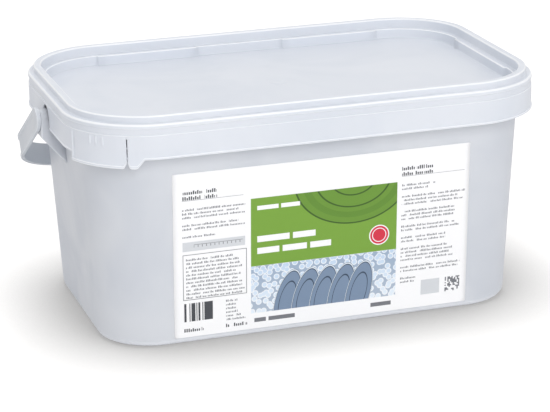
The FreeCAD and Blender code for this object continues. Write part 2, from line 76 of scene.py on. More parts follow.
lid_high = box_mm("lid")[1]
tub_high = box_mm("tub")[1]
bail_high = box_mm("bail_handle")[1]
label_low, label_high = box_mm("front_label")
SKIRT_REACH = 3.6
BEAD_REACH = 4.1
CORNER = 47.1
centre_x, centre_y = lid_high[:2] - BEAD_REACH - CORNER
rim_top = lid_high[2]
shoulder = rim_top - 4.2
skirt_low = rim_top - 25.4
lip_top = tub_high[2]
ear_face = tub_high[0]
bail_outer = bail_high[0]
swing = next(joint for joint in frame["joints"] if joint["name"] == "bail_swing")
pivot = swing["pos_m"][2] / MM
print("corner centres", round(centre_x, 2), round(centre_y, 2), "pivot height", pivot)


# %% [markdown]
# Stations round the outline
#
# A moulding with a constant section is a sweep: a section line carried round a path. The
# path is kept as stations. Each station has a base point, which slides along the straight
# sides and stands still in the corners, and a unit normal, which turns in the corners. A
# point of the surface is then base + (corner radius + reach) * normal, for any reach.

# %% Stations
def spread(start, stop, gap):
    """Evenly spaced numbers between two ends, without the ends, about a gap apart."""
    count = max(2, int(round(abs(stop - start) / gap)))
    return np.linspace(start, stop, count + 1)[1:-1]


def stations(front=(), right=(), back=(), left=(), tab_angles=(), gap=12.0, turn=3.75):
    """Base points and normals anticlockwise seen from above, from the front left corner on.

    Extra places may be asked for on each side, and extra angles in the front left corner,
    measured from the front towards the left side.
    """
    bases = []
    normals = []
    angles = np.arange(0, 90 + turn / 2, turn)
    sides = [((-centre_x, centre_x), -centre_y, (0, -1), front, (centre_x, -centre_y), -90),
             ((-centre_y, centre_y), centre_x, (1, 0), right, (centre_x, centre_y), 0),
             ((centre_x, -centre_x), centre_y, (0, 1), back, (-centre_x, centre_y), 90),
             ((centre_y, -centre_y), -centre_x, (-1, 0), left, (-centre_x, -centre_y), 180)]
    for (start, stop), level, normal, extra, corner, first in sides:
        along = np.union1d(spread(start, stop, gap), extra)
        along = along[::-1] if start > stop else along
        across = np.full(len(along), level)
        pair = (along, across) if normal[0] == 0 else (across, along)
        bases.append(np.stack(pair, axis=1))
        normals.append(np.tile(np.array(normal, float), (len(along), 1)))
        turns = first + angles
        if first == 180:
            turns = np.union1d(turns, 270 - np.asarray(tab_angles, float))
        turns = np.radians(turns)
        bases.append(np.tile(np.array(corner), (len(turns), 1)))
        normals.append(np.stack([np.cos(turns), np.sin(turns)], axis=1))
    return np.vstack(bases), np.vstack(normals)


def points_of(x, y, z, edge=0.0):
    """Points as four columns: x, y, z, and how much the point lies on a rounded edge."""
    return np.stack(np.broadcast_arrays(x, y, z, edge), axis=-1).astype(float)


def place(base, normal, reach, height, edge=0.0):
    """Points of a sweep, rows by stations: base + (corner + reach) * normal at a height."""
    out = CORNER + np.asarray(reach)
    return points_of(base[:, 0] + out * normal[:, 0], base[:, 1] + out * normal[:, 1], height, edge)


plain_base, plain_normal = stations()
print("stations round a plain outline:", len(plain_base))


# %% [markdown]
# A section line with rounded corners
#
# Moulded plastic has no sharp edge. The section is given as corners with radii, and each
# corner becomes an arc. A point is added just before and after each arc, because smooth
# shading would otherwise spread the turn of the arc over the flat face beside it.

# %% Section lines
def section(corners, steps=4, beside=0.15, longest=14.0):
    """Points along a line of (across, up, radius) corners, with each corner as an arc.

    The arc starts and ends radius * tan(half the turn) from its corner. Its points are the
    blend sin((1 - t) turn) * first + sin(t turn) * last, over sin(turn), round its centre.
    The third row of the result is 1 in the middle of an outer corner's arc, and 0 elsewhere.
    """
    points = np.array([corner[:2] for corner in corners], float)
    radii = np.array([corner[2] for corner in corners], float)
    legs = np.diff(points, axis=0)
    lengths = np.hypot(legs[:, 0], legs[:, 1])
    units = legs / lengths[:, None]
    turns = np.zeros(len(points))
    turns[1:-1] = np.arccos(np.clip(np.sum(units[:-1] * units[1:], axis=1), -1, 1))
    cuts = radii * np.tan(turns / 2)
    spare = lengths - cuts[:-1] - cuts[1:]
    line = [points[:1]]
    edges = [np.zeros(1)]
    for index in range(1, len(points) - 1):
        before, after = units[index - 1], units[index]
        start = points[index] - before * cuts[index]
        finish = points[index] + after * cuts[index]
        lead = min(beside, spare[index - 1] / 4)
        tail = min(beside, spare[index] / 4)
        inward = (after - before) / np.linalg.norm(after - before)
        middle = points[index] + inward * radii[index] / math.cos(turns[index] / 2)
        share = np.linspace(0, 1, steps + 1)[:, None]
        turn = turns[index]
        arc = np.sin((1 - share) * turn) * (start - middle) + np.sin(share * turn) * (finish - middle)
        line.append((start - before * lead)[None])
        line.append(middle + arc / math.sin(turn))
        line.append((finish + after * tail)[None])
        outer = before[0] * after[1] - before[1] * after[0] > 0
        edges.append(np.concatenate([[0], outer * np.sin(share[:, 0] * math.pi) ** 0.5, [0]]))
    line.append(points[-1:])
    edges = np.concatenate(edges + [np.zeros(1)])
    line = np.vstack(line)
    walked = np.concatenate([[0], np.cumsum(np.hypot(*np.diff(line, axis=0).T))])
    extra = [spread(a, b, longest) for a, b in zip(walked, walked[1:]) if b - a > longest]
    stops = np.union1d(walked, np.concatenate(extra)) if extra else walked
    return np.stack([np.interp(stops, walked, column) for column in (*line.T, edges)])


# %% [markdown]
# From grids to meshes
#
# Every surface is a grid of rows, and each row is a closed loop of points. Between two rows
# lie quads, and a row can be closed by a single point at its middle, called a pole. The
# helpers keep points and faces as arrays, so that a whole moulding becomes one mesh.

# %% Meshes from grids
def skin(grid, first_pole=None, last_pole=None):
    """Points, quads and triangles over rows of closed loops, with a pole at either end.

    Each quad goes along its row, up to the next row and back, so faces point outwards when
    rows rise and loops run anticlockwise.
    """
    rows, columns = grid.shape[:2]
    index = np.arange(rows * columns).reshape(rows, columns)
    ahead = np.roll(index, -1, axis=1)
    quads = np.stack([index[:-1], ahead[:-1], ahead[1:], index[1:]], axis=-1).reshape(-1, 4)
    points = grid.reshape(-1, 4)
    triangles = np.zeros((0, 3), int)
    if first_pole is not None:
        pole = np.full(columns, len(points))
        points = np.vstack([points, points_of(*first_pole)])
        triangles = np.vstack([triangles, np.stack([pole, ahead[0], index[0]], axis=1)])
    if last_pole is not None:
        pole = np.full(columns, len(points))
        points = np.vstack([points, points_of(*last_pole)])
        triangles = np.vstack([triangles, np.stack([index[-1], ahead[-1], pole], axis=1)])
    return points, quads, triangles


def joined(patches):
    """Several patches of points and faces as one."""
    offsets = np.cumsum([0] + [len(patch[0]) for patch in patches[:-1]])
    points = np.vstack([patch[0] for patch in patches])
    quads = np.vstack([patch[1] + offset for patch, offset in zip(patches, offsets)])
    triangles = np.vstack([patch[2] + offset for patch, offset in zip(patches, offsets)])
    return points, quads, triangles


def mirrored(patch):
    """The patch on the other side of the YZ plane, with its faces turned to point outwards."""
    points, quads, triangles = patch
    return points * [-1, 1, 1, 1], quads[:, ::-1], triangles[:, ::-1]


def new_piece(name, patch, material, body, node):
    """A smooth mesh object at the origin, from millimetres, that stands for a frame node."""
    points, quads, triangles = patch
    corners = np.concatenate([quads.ravel(), triangles.ravel()])
    starts = np.concatenate([np.arange(len(quads)) * 4,
                             quads.size + np.arange(len(triangles)) * 3])
    mesh = bpy.data.meshes.new(name)
    mesh.vertices.add(len(points))
    mesh.vertices.foreach_set("co", (points[:, :3] * MM).ravel())
    mesh.loops.add(len(corners))
    mesh.loops.foreach_set("vertex_index", corners.astype(np.int32))
    mesh.polygons.add(len(starts))
    mesh.polygons.foreach_set("loop_start", starts.astype(np.int32))
    mesh.polygons.foreach_set("use_smooth", np.ones(len(starts), bool))
    mesh.update(calc_edges=True)
    mesh.validate()
    # Each point's share of a rounded edge, which the plastics read for their painted edge highlight.
    rounded = mesh.attributes.new("edge_highlight_share", "FLOAT", "POINT")
    rounded.data.foreach_set("value", points[:, 3].astype(np.float32))
    mesh.materials.append(material)
    piece = bpy.data.objects.new(name, mesh)
    bpy.context.scene.collection.objects.link(piece)
    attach(piece, body)
    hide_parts(node)
    print(name, "points", len(points), "faces", len(starts))
    return piece


# %% [markdown]
# Node helpers
#
# A material is a small program of nodes. These helpers add a node, or one Math node, and
# connect numbers or sockets to its inputs, so that the recipes below stay readable.

# %% Node helpers
def add_node(tree, kind, inputs=None, **settings):
    """A node of a kind, with its settings, and its inputs set to numbers or linked."""
    node = tree.nodes.new(kind)
    for name, value in settings.items():
        setattr(node, name, value)
    for name, value in (inputs or {}).items():
        if isinstance(value, bpy.types.NodeSocket):
            tree.links.new(value, node.inputs[name])
        else:
            node.inputs[name].default_value = value
    return node


def math_node(tree, operation, *inputs):
    """The output of one Math node over numbers or sockets."""
    return add_node(tree, "ShaderNodeMath", dict(enumerate(inputs)), operation=operation).outputs[0]


def new_group(name, inputs, outputs):
    """An empty node group with named inputs, their defaults, and named outputs."""
    group = bpy.data.node_groups.new(name, "ShaderNodeTree")
    for label, kind, default in inputs:
        socket = group.interface.new_socket(name=label, in_out="INPUT", socket_type=kind)
        if default is not None:
            socket.default_value = default
    for label, kind in outputs:
        group.interface.new_socket(name=label, in_out="OUTPUT", socket_type=kind)
    entry = group.nodes.new("NodeGroupInput")
    leave = group.nodes.new("NodeGroupOutput")
    return group, entry, leave


def use_group(tree, group, inputs):
    """A group placed in a material or in another group."""
    return add_node(tree, "ShaderNodeGroup", inputs, node_tree=group)


# %% [markdown]
# Cloudy moulded plastic
#
# White polypropylene isn't one flat white. The melt cools unevenly, so it is a little bluer
# and darker in soft clouds, its gloss changes with them, and its skin has a fine orange
# peel. All three mouldings use this effect, so it is a node group with its own inputs. It
# puts out a colour, a roughness and a normal, and the shader stays in each material.
#
# Thin bright lines lie along every rounded edge, and here they are a painted highlight: each
# mesh says where its rounded edges are in an attribute, and the group mixes in a lighter
# colour there.

# %% The cloudy plastic group
FLOAT = "NodeSocketFloat"
COLOR = "NodeSocketColor"
VECTOR = "NodeSocketVector"
cloudy, entry, leave = new_group(
    "cloudy moulded plastic",
    [("Color", COLOR, None), ("Cloud Color", COLOR, None), ("Edge Highlight Color", COLOR, None),
     ("Edge", FLOAT, 0.0), ("Cloud Scale", FLOAT, 14.0), ("Roughness", FLOAT, 0.34),
     ("Peel", FLOAT, 0.04), ("Flow", FLOAT, 0.1)],
    [("Color", COLOR), ("Roughness", FLOAT), ("Normal", VECTOR)])
spot = add_node(cloudy, "ShaderNodeTexCoord").outputs["Object"]
clouds = add_node(cloudy, "ShaderNodeTexNoise",
                  {"Vector": spot, "Scale": entry.outputs["Cloud Scale"], "Detail": 3.0,
                   "Roughness": 0.55, "Distortion": 0.6}).outputs["Fac"]
soft = add_node(cloudy, "ShaderNodeMapRange",
                {"Value": clouds, "From Min": 0.35, "From Max": 0.7}, interpolation_type="SMOOTHSTEP")
tone = add_node(cloudy, "ShaderNodeMix",
                {"Factor": soft.outputs[0], "A": entry.outputs["Color"],
                 "B": entry.outputs["Cloud Color"]}, data_type="RGBA")
# Painted highlight: a lighter colour mixed in along the rounded edges.
painted_edge_highlight = add_node(cloudy, "ShaderNodeMix",
                    {"Factor": entry.outputs["Edge"], "A": tone.outputs["Result"],
                     "B": entry.outputs["Edge Highlight Color"]}, data_type="RGBA")
cloudy.links.new(painted_edge_highlight.outputs["Result"], leave.inputs["Color"])
gloss = math_node(cloudy, "MULTIPLY_ADD", soft.outputs[0], 0.07, entry.outputs["Roughness"])
cloudy.links.new(gloss, leave.inputs["Roughness"])
peel = add_node(cloudy, "ShaderNodeTexNoise",
                {"Vector": spot, "Scale": 900.0, "Detail": 2.0}).outputs["Fac"]
flow = add_node(cloudy, "ShaderNodeTexNoise",
                {"Vector": spot, "Scale": 22.0, "Detail": 1.0}).outputs["Fac"]
fine = add_node(cloudy, "ShaderNodeBump",
                {"Strength": entry.outputs["Peel"], "Distance": 0.0002, "Height": peel})
broad = add_node(cloudy, "ShaderNodeBump",
                 {"Strength": entry.outputs["Flow"], "Distance": 0.0015, "Height": flow,
                  "Normal": fine.outputs["Normal"]})
cloudy.links.new(broad.outputs["Normal"], leave.inputs["Normal"])
print("group", cloudy.name, "with", len(cloudy.nodes), "nodes")


# %% [markdown]
# The three plastics
#
# The tub, the lid and the bail are of the same kind of plastic but come from moulds of
# their own, so each has its own tone and gloss. A little light goes into such plastic and
# comes out beside it, which the shader's subsurface values give.

# %% The three plastics
def srgb(red, green, blue):
    """A colour written as it looks on a screen, 0 to 255, turned into linear light."""
    value = np.array([red, green, blue]) / 255
    linear = np.where(value <= 0.04045, value / 12.92, ((value + 0.055) / 1.055) ** 2.4)
    return (*linear.tolist(), 1.0)


GLOW_DEPTH = 0.003


def plastic(name, colour, cloud, edge_highlight_colour, roughness, peel, glow):
    """A moulded plastic: the cloudy group feeds a shader that lets a little light in."""
    material = bpy.data.materials.new(name)
    material.use_nodes = True
    tree = material.node_tree
    tree.nodes.clear()
    edge = add_node(tree, "ShaderNodeAttribute", attribute_name="edge_highlight_share").outputs["Fac"]
    skin_nodes = use_group(tree, cloudy, {"Color": colour, "Cloud Color": cloud,
                                          "Edge Highlight Color": edge_highlight_colour, "Edge": edge,
                                          "Roughness": roughness, "Peel": peel})
    shader = add_node(tree, "ShaderNodeBsdfPrincipled",
                      {"Base Color": skin_nodes.outputs["Color"],
                       "Roughness": skin_nodes.outputs["Roughness"],
                       "Normal": skin_nodes.outputs["Normal"],
                       "IOR": 1.49, "Subsurface Weight": glow,
                       "Subsurface Radius": (1.0, 1.0, 1.0), "Subsurface Scale": GLOW_DEPTH})
    output = add_node(tree, "ShaderNodeOutputMaterial")
    tree.links.new(shader.outputs["BSDF"], output.inputs["Surface"])
    return material


# The third colour of each plastic is the painted highlight along its rounded edges.
tub_plastic = plastic("tub polypropylene", srgb(217, 220, 225), srgb(207, 211, 218),
                      srgb(232, 235, 240), 0.36, 0.05, 0.2)
lid_plastic = plastic("lid polypropylene", srgb(226, 230, 237), srgb(220, 225, 233),
                      srgb(250, 252, 255), 0.30, 0.04, 0.2)
bail_plastic = plastic("bail polypropylene", srgb(214, 218, 223), srgb(206, 211, 217),
                       srgb(230, 233, 238), 0.40, 0.06, 0.1)
print("plastics", tub_plastic.name, lid_plastic.name, bail_plastic.name)


# %% [markdown]
# The tub
#
# The tub is one moulding: a wall that leans out, a foot ring, a collar just inside the
# lower edge of the lid's skirt, a neck, and a lip that the lid snaps over. A lathe can't
# make it, because its outline isn't round, so its section is carried round the outline.
# Both faces of the wall are in the section, which makes the mesh a closed shell with its
# real wall.

# %% The tub's section
BASE_REACH = -12.6
WALL_FLARE = 7.0
WALL = 1.6
FOOT_REACH = -24.4
FOOT_HOLLOW = 1.2
floor_top = FOOT_HOLLOW + 2.2
collar_low = skirt_low + 1.4
collar_top = collar_low + 1.4
lean = WALL_FLARE / skirt_low
collar_reach = BASE_REACH + lean * collar_low
inner_top = BASE_REACH + WALL_FLARE - WALL
inner_low = inner_top - lean * (collar_top - floor_top)
NECK_OUT = -1.4
NECK_IN = -3.0
LIP_REACH = 1.2
LIP_THICK = 2.0
tub_section = section([
    (FOOT_REACH - 6, FOOT_HOLLOW, 0), (FOOT_REACH, FOOT_HOLLOW, 0.5), (FOOT_REACH, 0, 0.6),
    (BASE_REACH, 0, 4.8), (collar_reach, collar_low, 0.8), (1.8, collar_low, 0.4),
    (1.8, collar_top, 0.5), (NECK_OUT, collar_top, 0.6), (NECK_OUT, lip_top - LIP_THICK, 0.3),
    (LIP_REACH, lip_top - LIP_THICK, 0.6), (LIP_REACH, lip_top, 0.7), (NECK_IN, lip_top, 0.6),
    (NECK_IN, collar_top, 0.8), (inner_top, collar_top, 1.0), (inner_low, floor_top, 3.2),
    (FOOT_REACH - 6, floor_top, 0)])
print("points in the tub's section:", tub_section.shape[1])


# %% Floor rings and the tub's shell
def floor_rings(base, normal, reach, height, gate=0.0):
    """Rings from an outline to the middle: scaled copies of it, and round ones at the gate.

    The last rings are circles at each point's own angle, with a raised ring where the
    plastic entered the mould.
    """
    edge = place(base, normal, reach, height)
    shares = np.array([0.85, 0.65, 0.45, 0.25])[:, None, None]
    scaled = edge[None] * shares
    scaled[..., 2] = height
    angle = np.arctan2(edge[:, 1], edge[:, 0])
    radii = np.array([12.0, 6.0, 5.2, 4.4, 3.8, 1.5])[:, None]
    lifts = np.array([0, 0, 0, gate, gate, 0])[:, None]
    circles = points_of(radii * np.cos(angle), radii * np.sin(angle), height + lifts)
    return np.concatenate([scaled, circles])


def tub_shell():
    """The section carried round the outline, closed at the middle of its two floors."""
    reach, height, edge = tub_section[:, :, None]
    wall = place(plain_base, plain_normal, reach, height, edge)
    under = floor_rings(plain_base, plain_normal, FOOT_REACH - 6, FOOT_HOLLOW, -0.4)
    inside = floor_rings(plain_base, plain_normal, FOOT_REACH - 6, floor_top)
    grid = np.concatenate([under[::-1], wall, inside])
    return skin(grid, (0, 0, FOOT_HOLLOW), (0, 0, floor_top))


shell = tub_shell()
print("tub shell points", len(shell[0]))


# %% [markdown]
# The ears
#
# Each short side has an ear that carries the bail. Seen from the side it has a round top,
# and its underside slants back to the wall, so that the mould opens. The surface starts
# inside the tub's wall, runs out to the face, rounds over, and runs on into the bore. One
# parameter goes round the outline and the other from the wall to the bottom of the bore.

# %% The ears
EAR_HALF = 6.0
EAR_FLAT = 10.7
EAR_SLOPE = 18.0
EAR_ROUND = 0.8
BORE = 3.06
BORE_DEPTH = 8.6
ear_low = pivot - EAR_FLAT - EAR_SLOPE


def ear_reach(height):
    """How far out the ear goes at a height: full above its flat, then slanting to the wall."""
    wall_foot = centre_x + CORNER + inner_top
    share = np.clip((height - ear_low) / EAR_SLOPE, 0, 1)
    return wall_foot + share * (ear_face - wall_foot)


def ear_outline(count=96):
    """Points and outward normals round the ear seen from outside, from its bottom middle."""
    flat = pivot - ear_low
    legs = np.array([EAR_HALF, flat, math.pi * EAR_HALF, flat, EAR_HALF])
    ends = np.cumsum(legs)
    walk = (np.arange(count) + 0.5) / count * ends[-1]
    angle = np.clip((walk - ends[1]) / EAR_HALF, 0, math.pi)
    over = np.clip(walk, 0, EAR_HALF) + np.clip(walk - ends[3], 0, EAR_HALF)
    on_bottom = (walk < ends[0]) | (walk > ends[3])
    across = np.where(on_bottom, np.where(walk < ends[0], over, over - 2 * EAR_HALF),
                      EAR_HALF * np.cos(angle))
    up = np.where(walk < ends[1], ear_low + np.clip(walk - ends[0], 0, flat),
                  pivot + EAR_HALF * np.sin(angle))
    up = np.where(walk > ends[2], pivot - np.clip(walk - ends[2], 0, flat), up)
    turned = np.stack([np.cos(angle), np.sin(angle)], axis=1)
    normals = np.where(on_bottom[:, None], [[0, -1]], turned)
    return np.stack([across, up], axis=1), normals


def ear():
    """The right ear: side walls, rounded edge, face, bore and the cap inside the wall."""
    outline, normals = ear_outline()
    inside = np.where(outline[:, 1] > collar_top, NECK_OUT, inner_top - lean *
                      (collar_top - outline[:, 1]) + WALL) - WALL / 2
    start = points_of(centre_x + CORNER + inside, *outline.T)
    turn = np.radians([0, 15, 30, 45, 60, 75, 90])[:, None]
    flat = outline[None] - normals[None] * EAR_ROUND * (1 - np.cos(turn[..., None]))
    depth = ear_reach(flat[..., 1]) - EAR_ROUND * (1 - np.sin(turn))
    edge = points_of(depth, flat[..., 0], flat[..., 1], np.sin(2 * turn))
    aim = np.arctan2(outline[:, 1] - pivot, outline[:, 0])
    hole = np.stack([BORE * np.cos(aim), pivot + BORE * np.sin(aim)], axis=1)
    share = np.linspace(0.12, 1, 9)[:, None, None]
    flat = flat[-1] * (1 - share) + hole * share
    face = points_of(ear_reach(flat[..., 1]), flat[..., 0], flat[..., 1])
    bore = np.repeat(face[-1:], 3, axis=0)
    bore[:, :, 0] -= np.array([0.1, BORE_DEPTH - 0.1, BORE_DEPTH])[:, None]
    grid = np.concatenate([start[None], edge, face, bore])
    points, quads, triangles = skin(grid, None, (ear_face - BORE_DEPTH, 0, pivot))
    half = np.arange(len(outline) // 2 - 1)
    mirror = len(outline) - 1 - half
    cap = np.stack([half + 1, half, mirror, mirror - 1], axis=1)
    return points, np.vstack([quads, cap]), triangles


tub = new_piece("tub_moulding", joined([shell, ear(), mirrored(ear())]), tub_plastic,
                "tub", "tub")


# %% [markdown]
# The lid
#
# The lid is one moulding too: a skirt with a sunk band and a bead along its lower edge, a
# rounded shoulder, a raised rim, and a recess whose floor is the panel. Its section is
# carried round the same outline, but the skirt's lower edge isn't level: it rises in a
# notch round each ear and drops in the tear tab. So the rows under the sunk band are
# stretched, station by station, to end at that edge.

# %% The lid's section
LID_WALL = 1.4
skirt_in = SKIRT_REACH - LID_WALL
band_low = skirt_low + 14.4
band_high = band_low + 4.0
bead_top = skirt_low + 2.5
stretch_top = band_low - 0.8
BAND_REACH = SKIRT_REACH - 0.5
PLUG_REACH = -4.8
LEDGE_REACH = PLUG_REACH - 2.8
ledge = rim_top - 6.2
panel = rim_top - 12.6
panel_under = panel - LID_WALL
ledge_under = ledge - LID_WALL
rim_under = rim_top - LID_WALL
shoulder_under = shoulder - LID_WALL
catch_top = lip_top - LIP_THICK - 0.4
catch_low = catch_top - 0.8
CATCH_REACH = skirt_in - 0.6
PANEL_REACH = -30.0
inner_line = [
    (PANEL_REACH, panel_under, 0), (LEDGE_REACH + LID_WALL, panel_under, 0.8),
    (LEDGE_REACH + LID_WALL, ledge_under, 0.3), (PLUG_REACH + LID_WALL, ledge_under, 0.6),
    (PLUG_REACH + LID_WALL, rim_under, 0.4), (-LID_WALL, rim_under, 0.4),
    (-LID_WALL, shoulder_under, 0.3), (skirt_in, shoulder_under, 0.6),
    (skirt_in, catch_top, 0.15), (CATCH_REACH, catch_top, 0.2), (CATCH_REACH, catch_low, 0.2),
    (skirt_in, catch_low, 0.15)]
edge_line = [
    (skirt_in, skirt_low, 0.4), (BEAD_REACH, skirt_low, 0.45),
    (BEAD_REACH, skirt_low + 1.2, 0.45), (SKIRT_REACH, skirt_low + 1.5, 0.3),
    (SKIRT_REACH, bead_top, 0)]
upper_line = [
    (SKIRT_REACH, stretch_top, 0), (SKIRT_REACH, band_low, 0.3),
    (BAND_REACH, band_low + 0.35, 0.3), (BAND_REACH, band_high - 0.1, 0.3),
    (SKIRT_REACH, band_high + 0.25, 0.25), (SKIRT_REACH, shoulder, 1.3), (0, shoulder, 0.9),
    (0, rim_top, 1.0), (PLUG_REACH, rim_top, 1.0), (PLUG_REACH, ledge, 0.7),
    (LEDGE_REACH, ledge, 0.6), (LEDGE_REACH, panel, 1.0), (PANEL_REACH, panel, 0)]
low_part = section(inner_line + edge_line, longest=9.0)
high_part = section(upper_line, longest=9.0)
skirt_rows = spread(bead_top, stretch_top, 0.45)
skirt_part = np.stack([np.full(len(skirt_rows), SKIRT_REACH), skirt_rows, 0 * skirt_rows])
lid_reach, lid_height, lid_edge = np.hstack([low_part, skirt_part, high_part])
print("points in the lid's section:", len(lid_reach))


# %% [markdown]
# The skirt's lower edge
#
# Along the sides the edge is level, and round each ear it arches over the bail's pivot. In
# the tear tab it follows a line given as points: how far left of the corner's centre, and
# how high. The narrow slit is in that line too, so that the mesh needs no cutting.

# %% The skirt's lower edge, station by station
TAB_DROP = 5.3
TAB_START = 72.0
TAB_END = 15.0
SLIT_ANGLE = 26.6
SLIT_HALF = 0.3
SLIT_HEIGHT = 12.6
NOTCH = 8.5
HAIR = 0.02
tab_low = skirt_low - TAB_DROP
skirt_turn = CORNER + SKIRT_REACH
slit_across = skirt_turn * math.sin(math.radians(SLIT_ANGLE))
end_across = skirt_turn * math.sin(math.radians(TAB_END))
vee_top = skirt_low - 1.0
# The tab's edge from its right end to its slit: millimetres left of the corner's centre,
# and height. The slanted end comes first, then the lobe, the vee and the slit.
edge_across = np.array([end_across, end_across + 0.4, end_across + 3.9, end_across + 4.7,
                        slit_across - 2.0, slit_across - 1.2, slit_across - SLIT_HALF,
                        slit_across - SLIT_HALF + HAIR, slit_across + SLIT_HALF - HAIR,
                        slit_across + SLIT_HALF, slit_across + 1.7, slit_across + 2.6])
edge_height = np.array([skirt_low, skirt_low - 0.4, tab_low + 0.5, tab_low, tab_low,
                        tab_low + 0.5, vee_top - 1.1, skirt_low + SLIT_HEIGHT,
                        skirt_low + SLIT_HEIGHT, vee_top - 0.8, tab_low + 0.4, tab_low])
edge_angle = np.degrees(np.arcsin(edge_across / skirt_turn))


def lower_edge(base, normal):
    """Height of the skirt's lower edge at each station: level, but for notches and tab."""
    edge = base + skirt_turn * normal
    on_side = np.abs(normal[:, 0]) > 0.999
    off = np.abs(edge[:, 1])
    arch = pivot + np.sqrt(np.clip(NOTCH ** 2 - off ** 2, 0, None))
    height = np.where(on_side & (off <= NOTCH), arch, skirt_low)
    angle = np.degrees(np.arctan2(-normal[:, 0], -normal[:, 1]))
    in_corner = (base[:, 0] < 1 - centre_x) & (base[:, 1] < 1 - centre_y)
    tab = np.interp(angle, edge_angle, edge_height)
    in_tab = in_corner & (angle > TAB_END) & (angle <= TAB_START)
    return np.where(in_tab, tab, height), np.where(in_corner, angle, -1.0)


def smooth_step(value, start, stop):
    """0 before start, 1 after stop, and 3t^2 - 2t^3 between them."""
    share = np.clip((value - start) / (stop - start), 0, 1)
    return share * share * (3 - 2 * share)


# %% [markdown]
# Lugs, ribs and the weak line
#
# Small forms on a sweep need no cutting: they are added to the reach. The six stacking lugs
# push the recess wall inwards between set places along the sides. The grip ribs and the
# thin ridge at the tab's left end are bumps of about half a millimetre, and the weak line
# beside the ridge is a groove. Each is a smooth step or a round hump that fades at its
# ends.

# %% Relief on the lid
LUG_INNER = 30.0
LUG_OUTER = 96.0
LUG_SIDE = 41.0
LUG_PROUD = 1.7
LUG_EASE = 0.8
RIB_ANGLES = (43.7, 48.7, 53.7)
RIB_HALF = 0.75
RIB_LOW = pivot + 3.6
RIB_HEIGHT = 4.6
RIB_PROUD = 0.6
RIDGE_ANGLE = 71.4
WEAK_ANGLE = 69.6
LINE_HALF = 0.6
RIDGE_PROUD = 0.5
WEAK_DEEP = 0.4


def window(value, start, stop, ease):
    """1 between start and stop, easing to 0 over a short way outside them."""
    return smooth_step(value, start - ease, start) * (1 - smooth_step(value, stop, stop + ease))


def lug_share(base, normal):
    """Where the recess wall stands inwards as a lug, from 0 to 1, at each station."""
    long_side = np.abs(normal[:, 1]) > 0.999
    short_side = np.abs(normal[:, 0]) > 0.999
    long_lug = window(np.abs(base[:, 0]), LUG_INNER, LUG_OUTER - LUG_EASE, LUG_EASE)
    short_lug = window(np.abs(base[:, 1]), -1, LUG_SIDE - LUG_EASE, LUG_EASE)
    return np.where(long_side, long_lug, 0) + np.where(short_side, short_lug, 0)


def relief(angle, height):
    """Ribs, ridge and groove outside the plain skirt, in millimetres."""
    high = window(height, RIB_LOW, RIB_LOW + RIB_HEIGHT, 0.5)
    ribs = sum(np.clip(1 - (np.abs(angle - middle) / RIB_HALF) ** 2, 0, 1) ** 0.5
               for middle in RIB_ANGLES)
    long = 1 - smooth_step(height, band_low - 1.6, stretch_top)
    ridge = np.clip(1 - ((angle - RIDGE_ANGLE) / LINE_HALF) ** 2, 0, 1) ** 0.5
    groove = np.clip(1 - ((angle - WEAK_ANGLE) / LINE_HALF) ** 2, 0, 1) ** 0.5
    return RIB_PROUD * ribs * high + (RIDGE_PROUD * ridge - WEAK_DEEP * groove) * long


# %% [markdown]
# The lid's shell
#
# A place that needs more points, such as the end of a lug or a side of the slit, gets
# stations of its own. Then three things act on the plain section: the rows under the band
# are stretched to the lower edge, the bead fades out beside the ears and in the tab's
# lobe, and the relief and the lugs move points out or in. Two small bridges hold the slit.

# %% The lid's shell
lug_ends = np.array([LUG_INNER - LUG_EASE, LUG_INNER - LUG_EASE / 2, LUG_INNER,
                     LUG_OUTER - LUG_EASE, LUG_OUTER - LUG_EASE / 2, LUG_OUTER])
arch_y = NOTCH * np.cos(np.radians(np.linspace(0, 180, 31)))
side_places = np.union1d(arch_y, [-NOTCH - HAIR, NOTCH + HAIR, -NOTCH - 1.5, NOTCH + 1.5,
                                  -LUG_SIDE, LUG_SIDE, LUG_SIDE - LUG_EASE, LUG_EASE - LUG_SIDE])
long_places = np.union1d(-lug_ends, lug_ends)
rib_angles = np.arange(min(RIB_ANGLES) - 1.5, max(RIB_ANGLES) + 1.6, 0.3)
line_angles = np.arange(WEAK_ANGLE - 0.8, TAB_START + 0.01, 0.2)
tab_angles = np.concatenate([edge_angle, [TAB_START + HAIR], rib_angles, line_angles])
lid_base, lid_normal = stations(long_places, side_places, long_places, side_places, tab_angles)
edge_z, tab_angle = lower_edge(lid_base, lid_normal)
bead_share = np.clip((np.abs(lid_base[:, 1]) - NOTCH - HAIR) / 1.5, 0, 1)
bead_share = np.where(np.abs(lid_normal[:, 0]) > 0.999, bead_share, 1.0)
in_lobe = window(tab_angle, TAB_END, SLIT_ANGLE + 1.5, 0.6)
bead_share = np.where(tab_angle > 0, bead_share * (1 - in_lobe), bead_share)


# So many points at the end of the section's low part lie outside the skirt, above the bead.
OUTSIDE_POINTS = 12
lug_start = LEDGE_REACH + 0.7


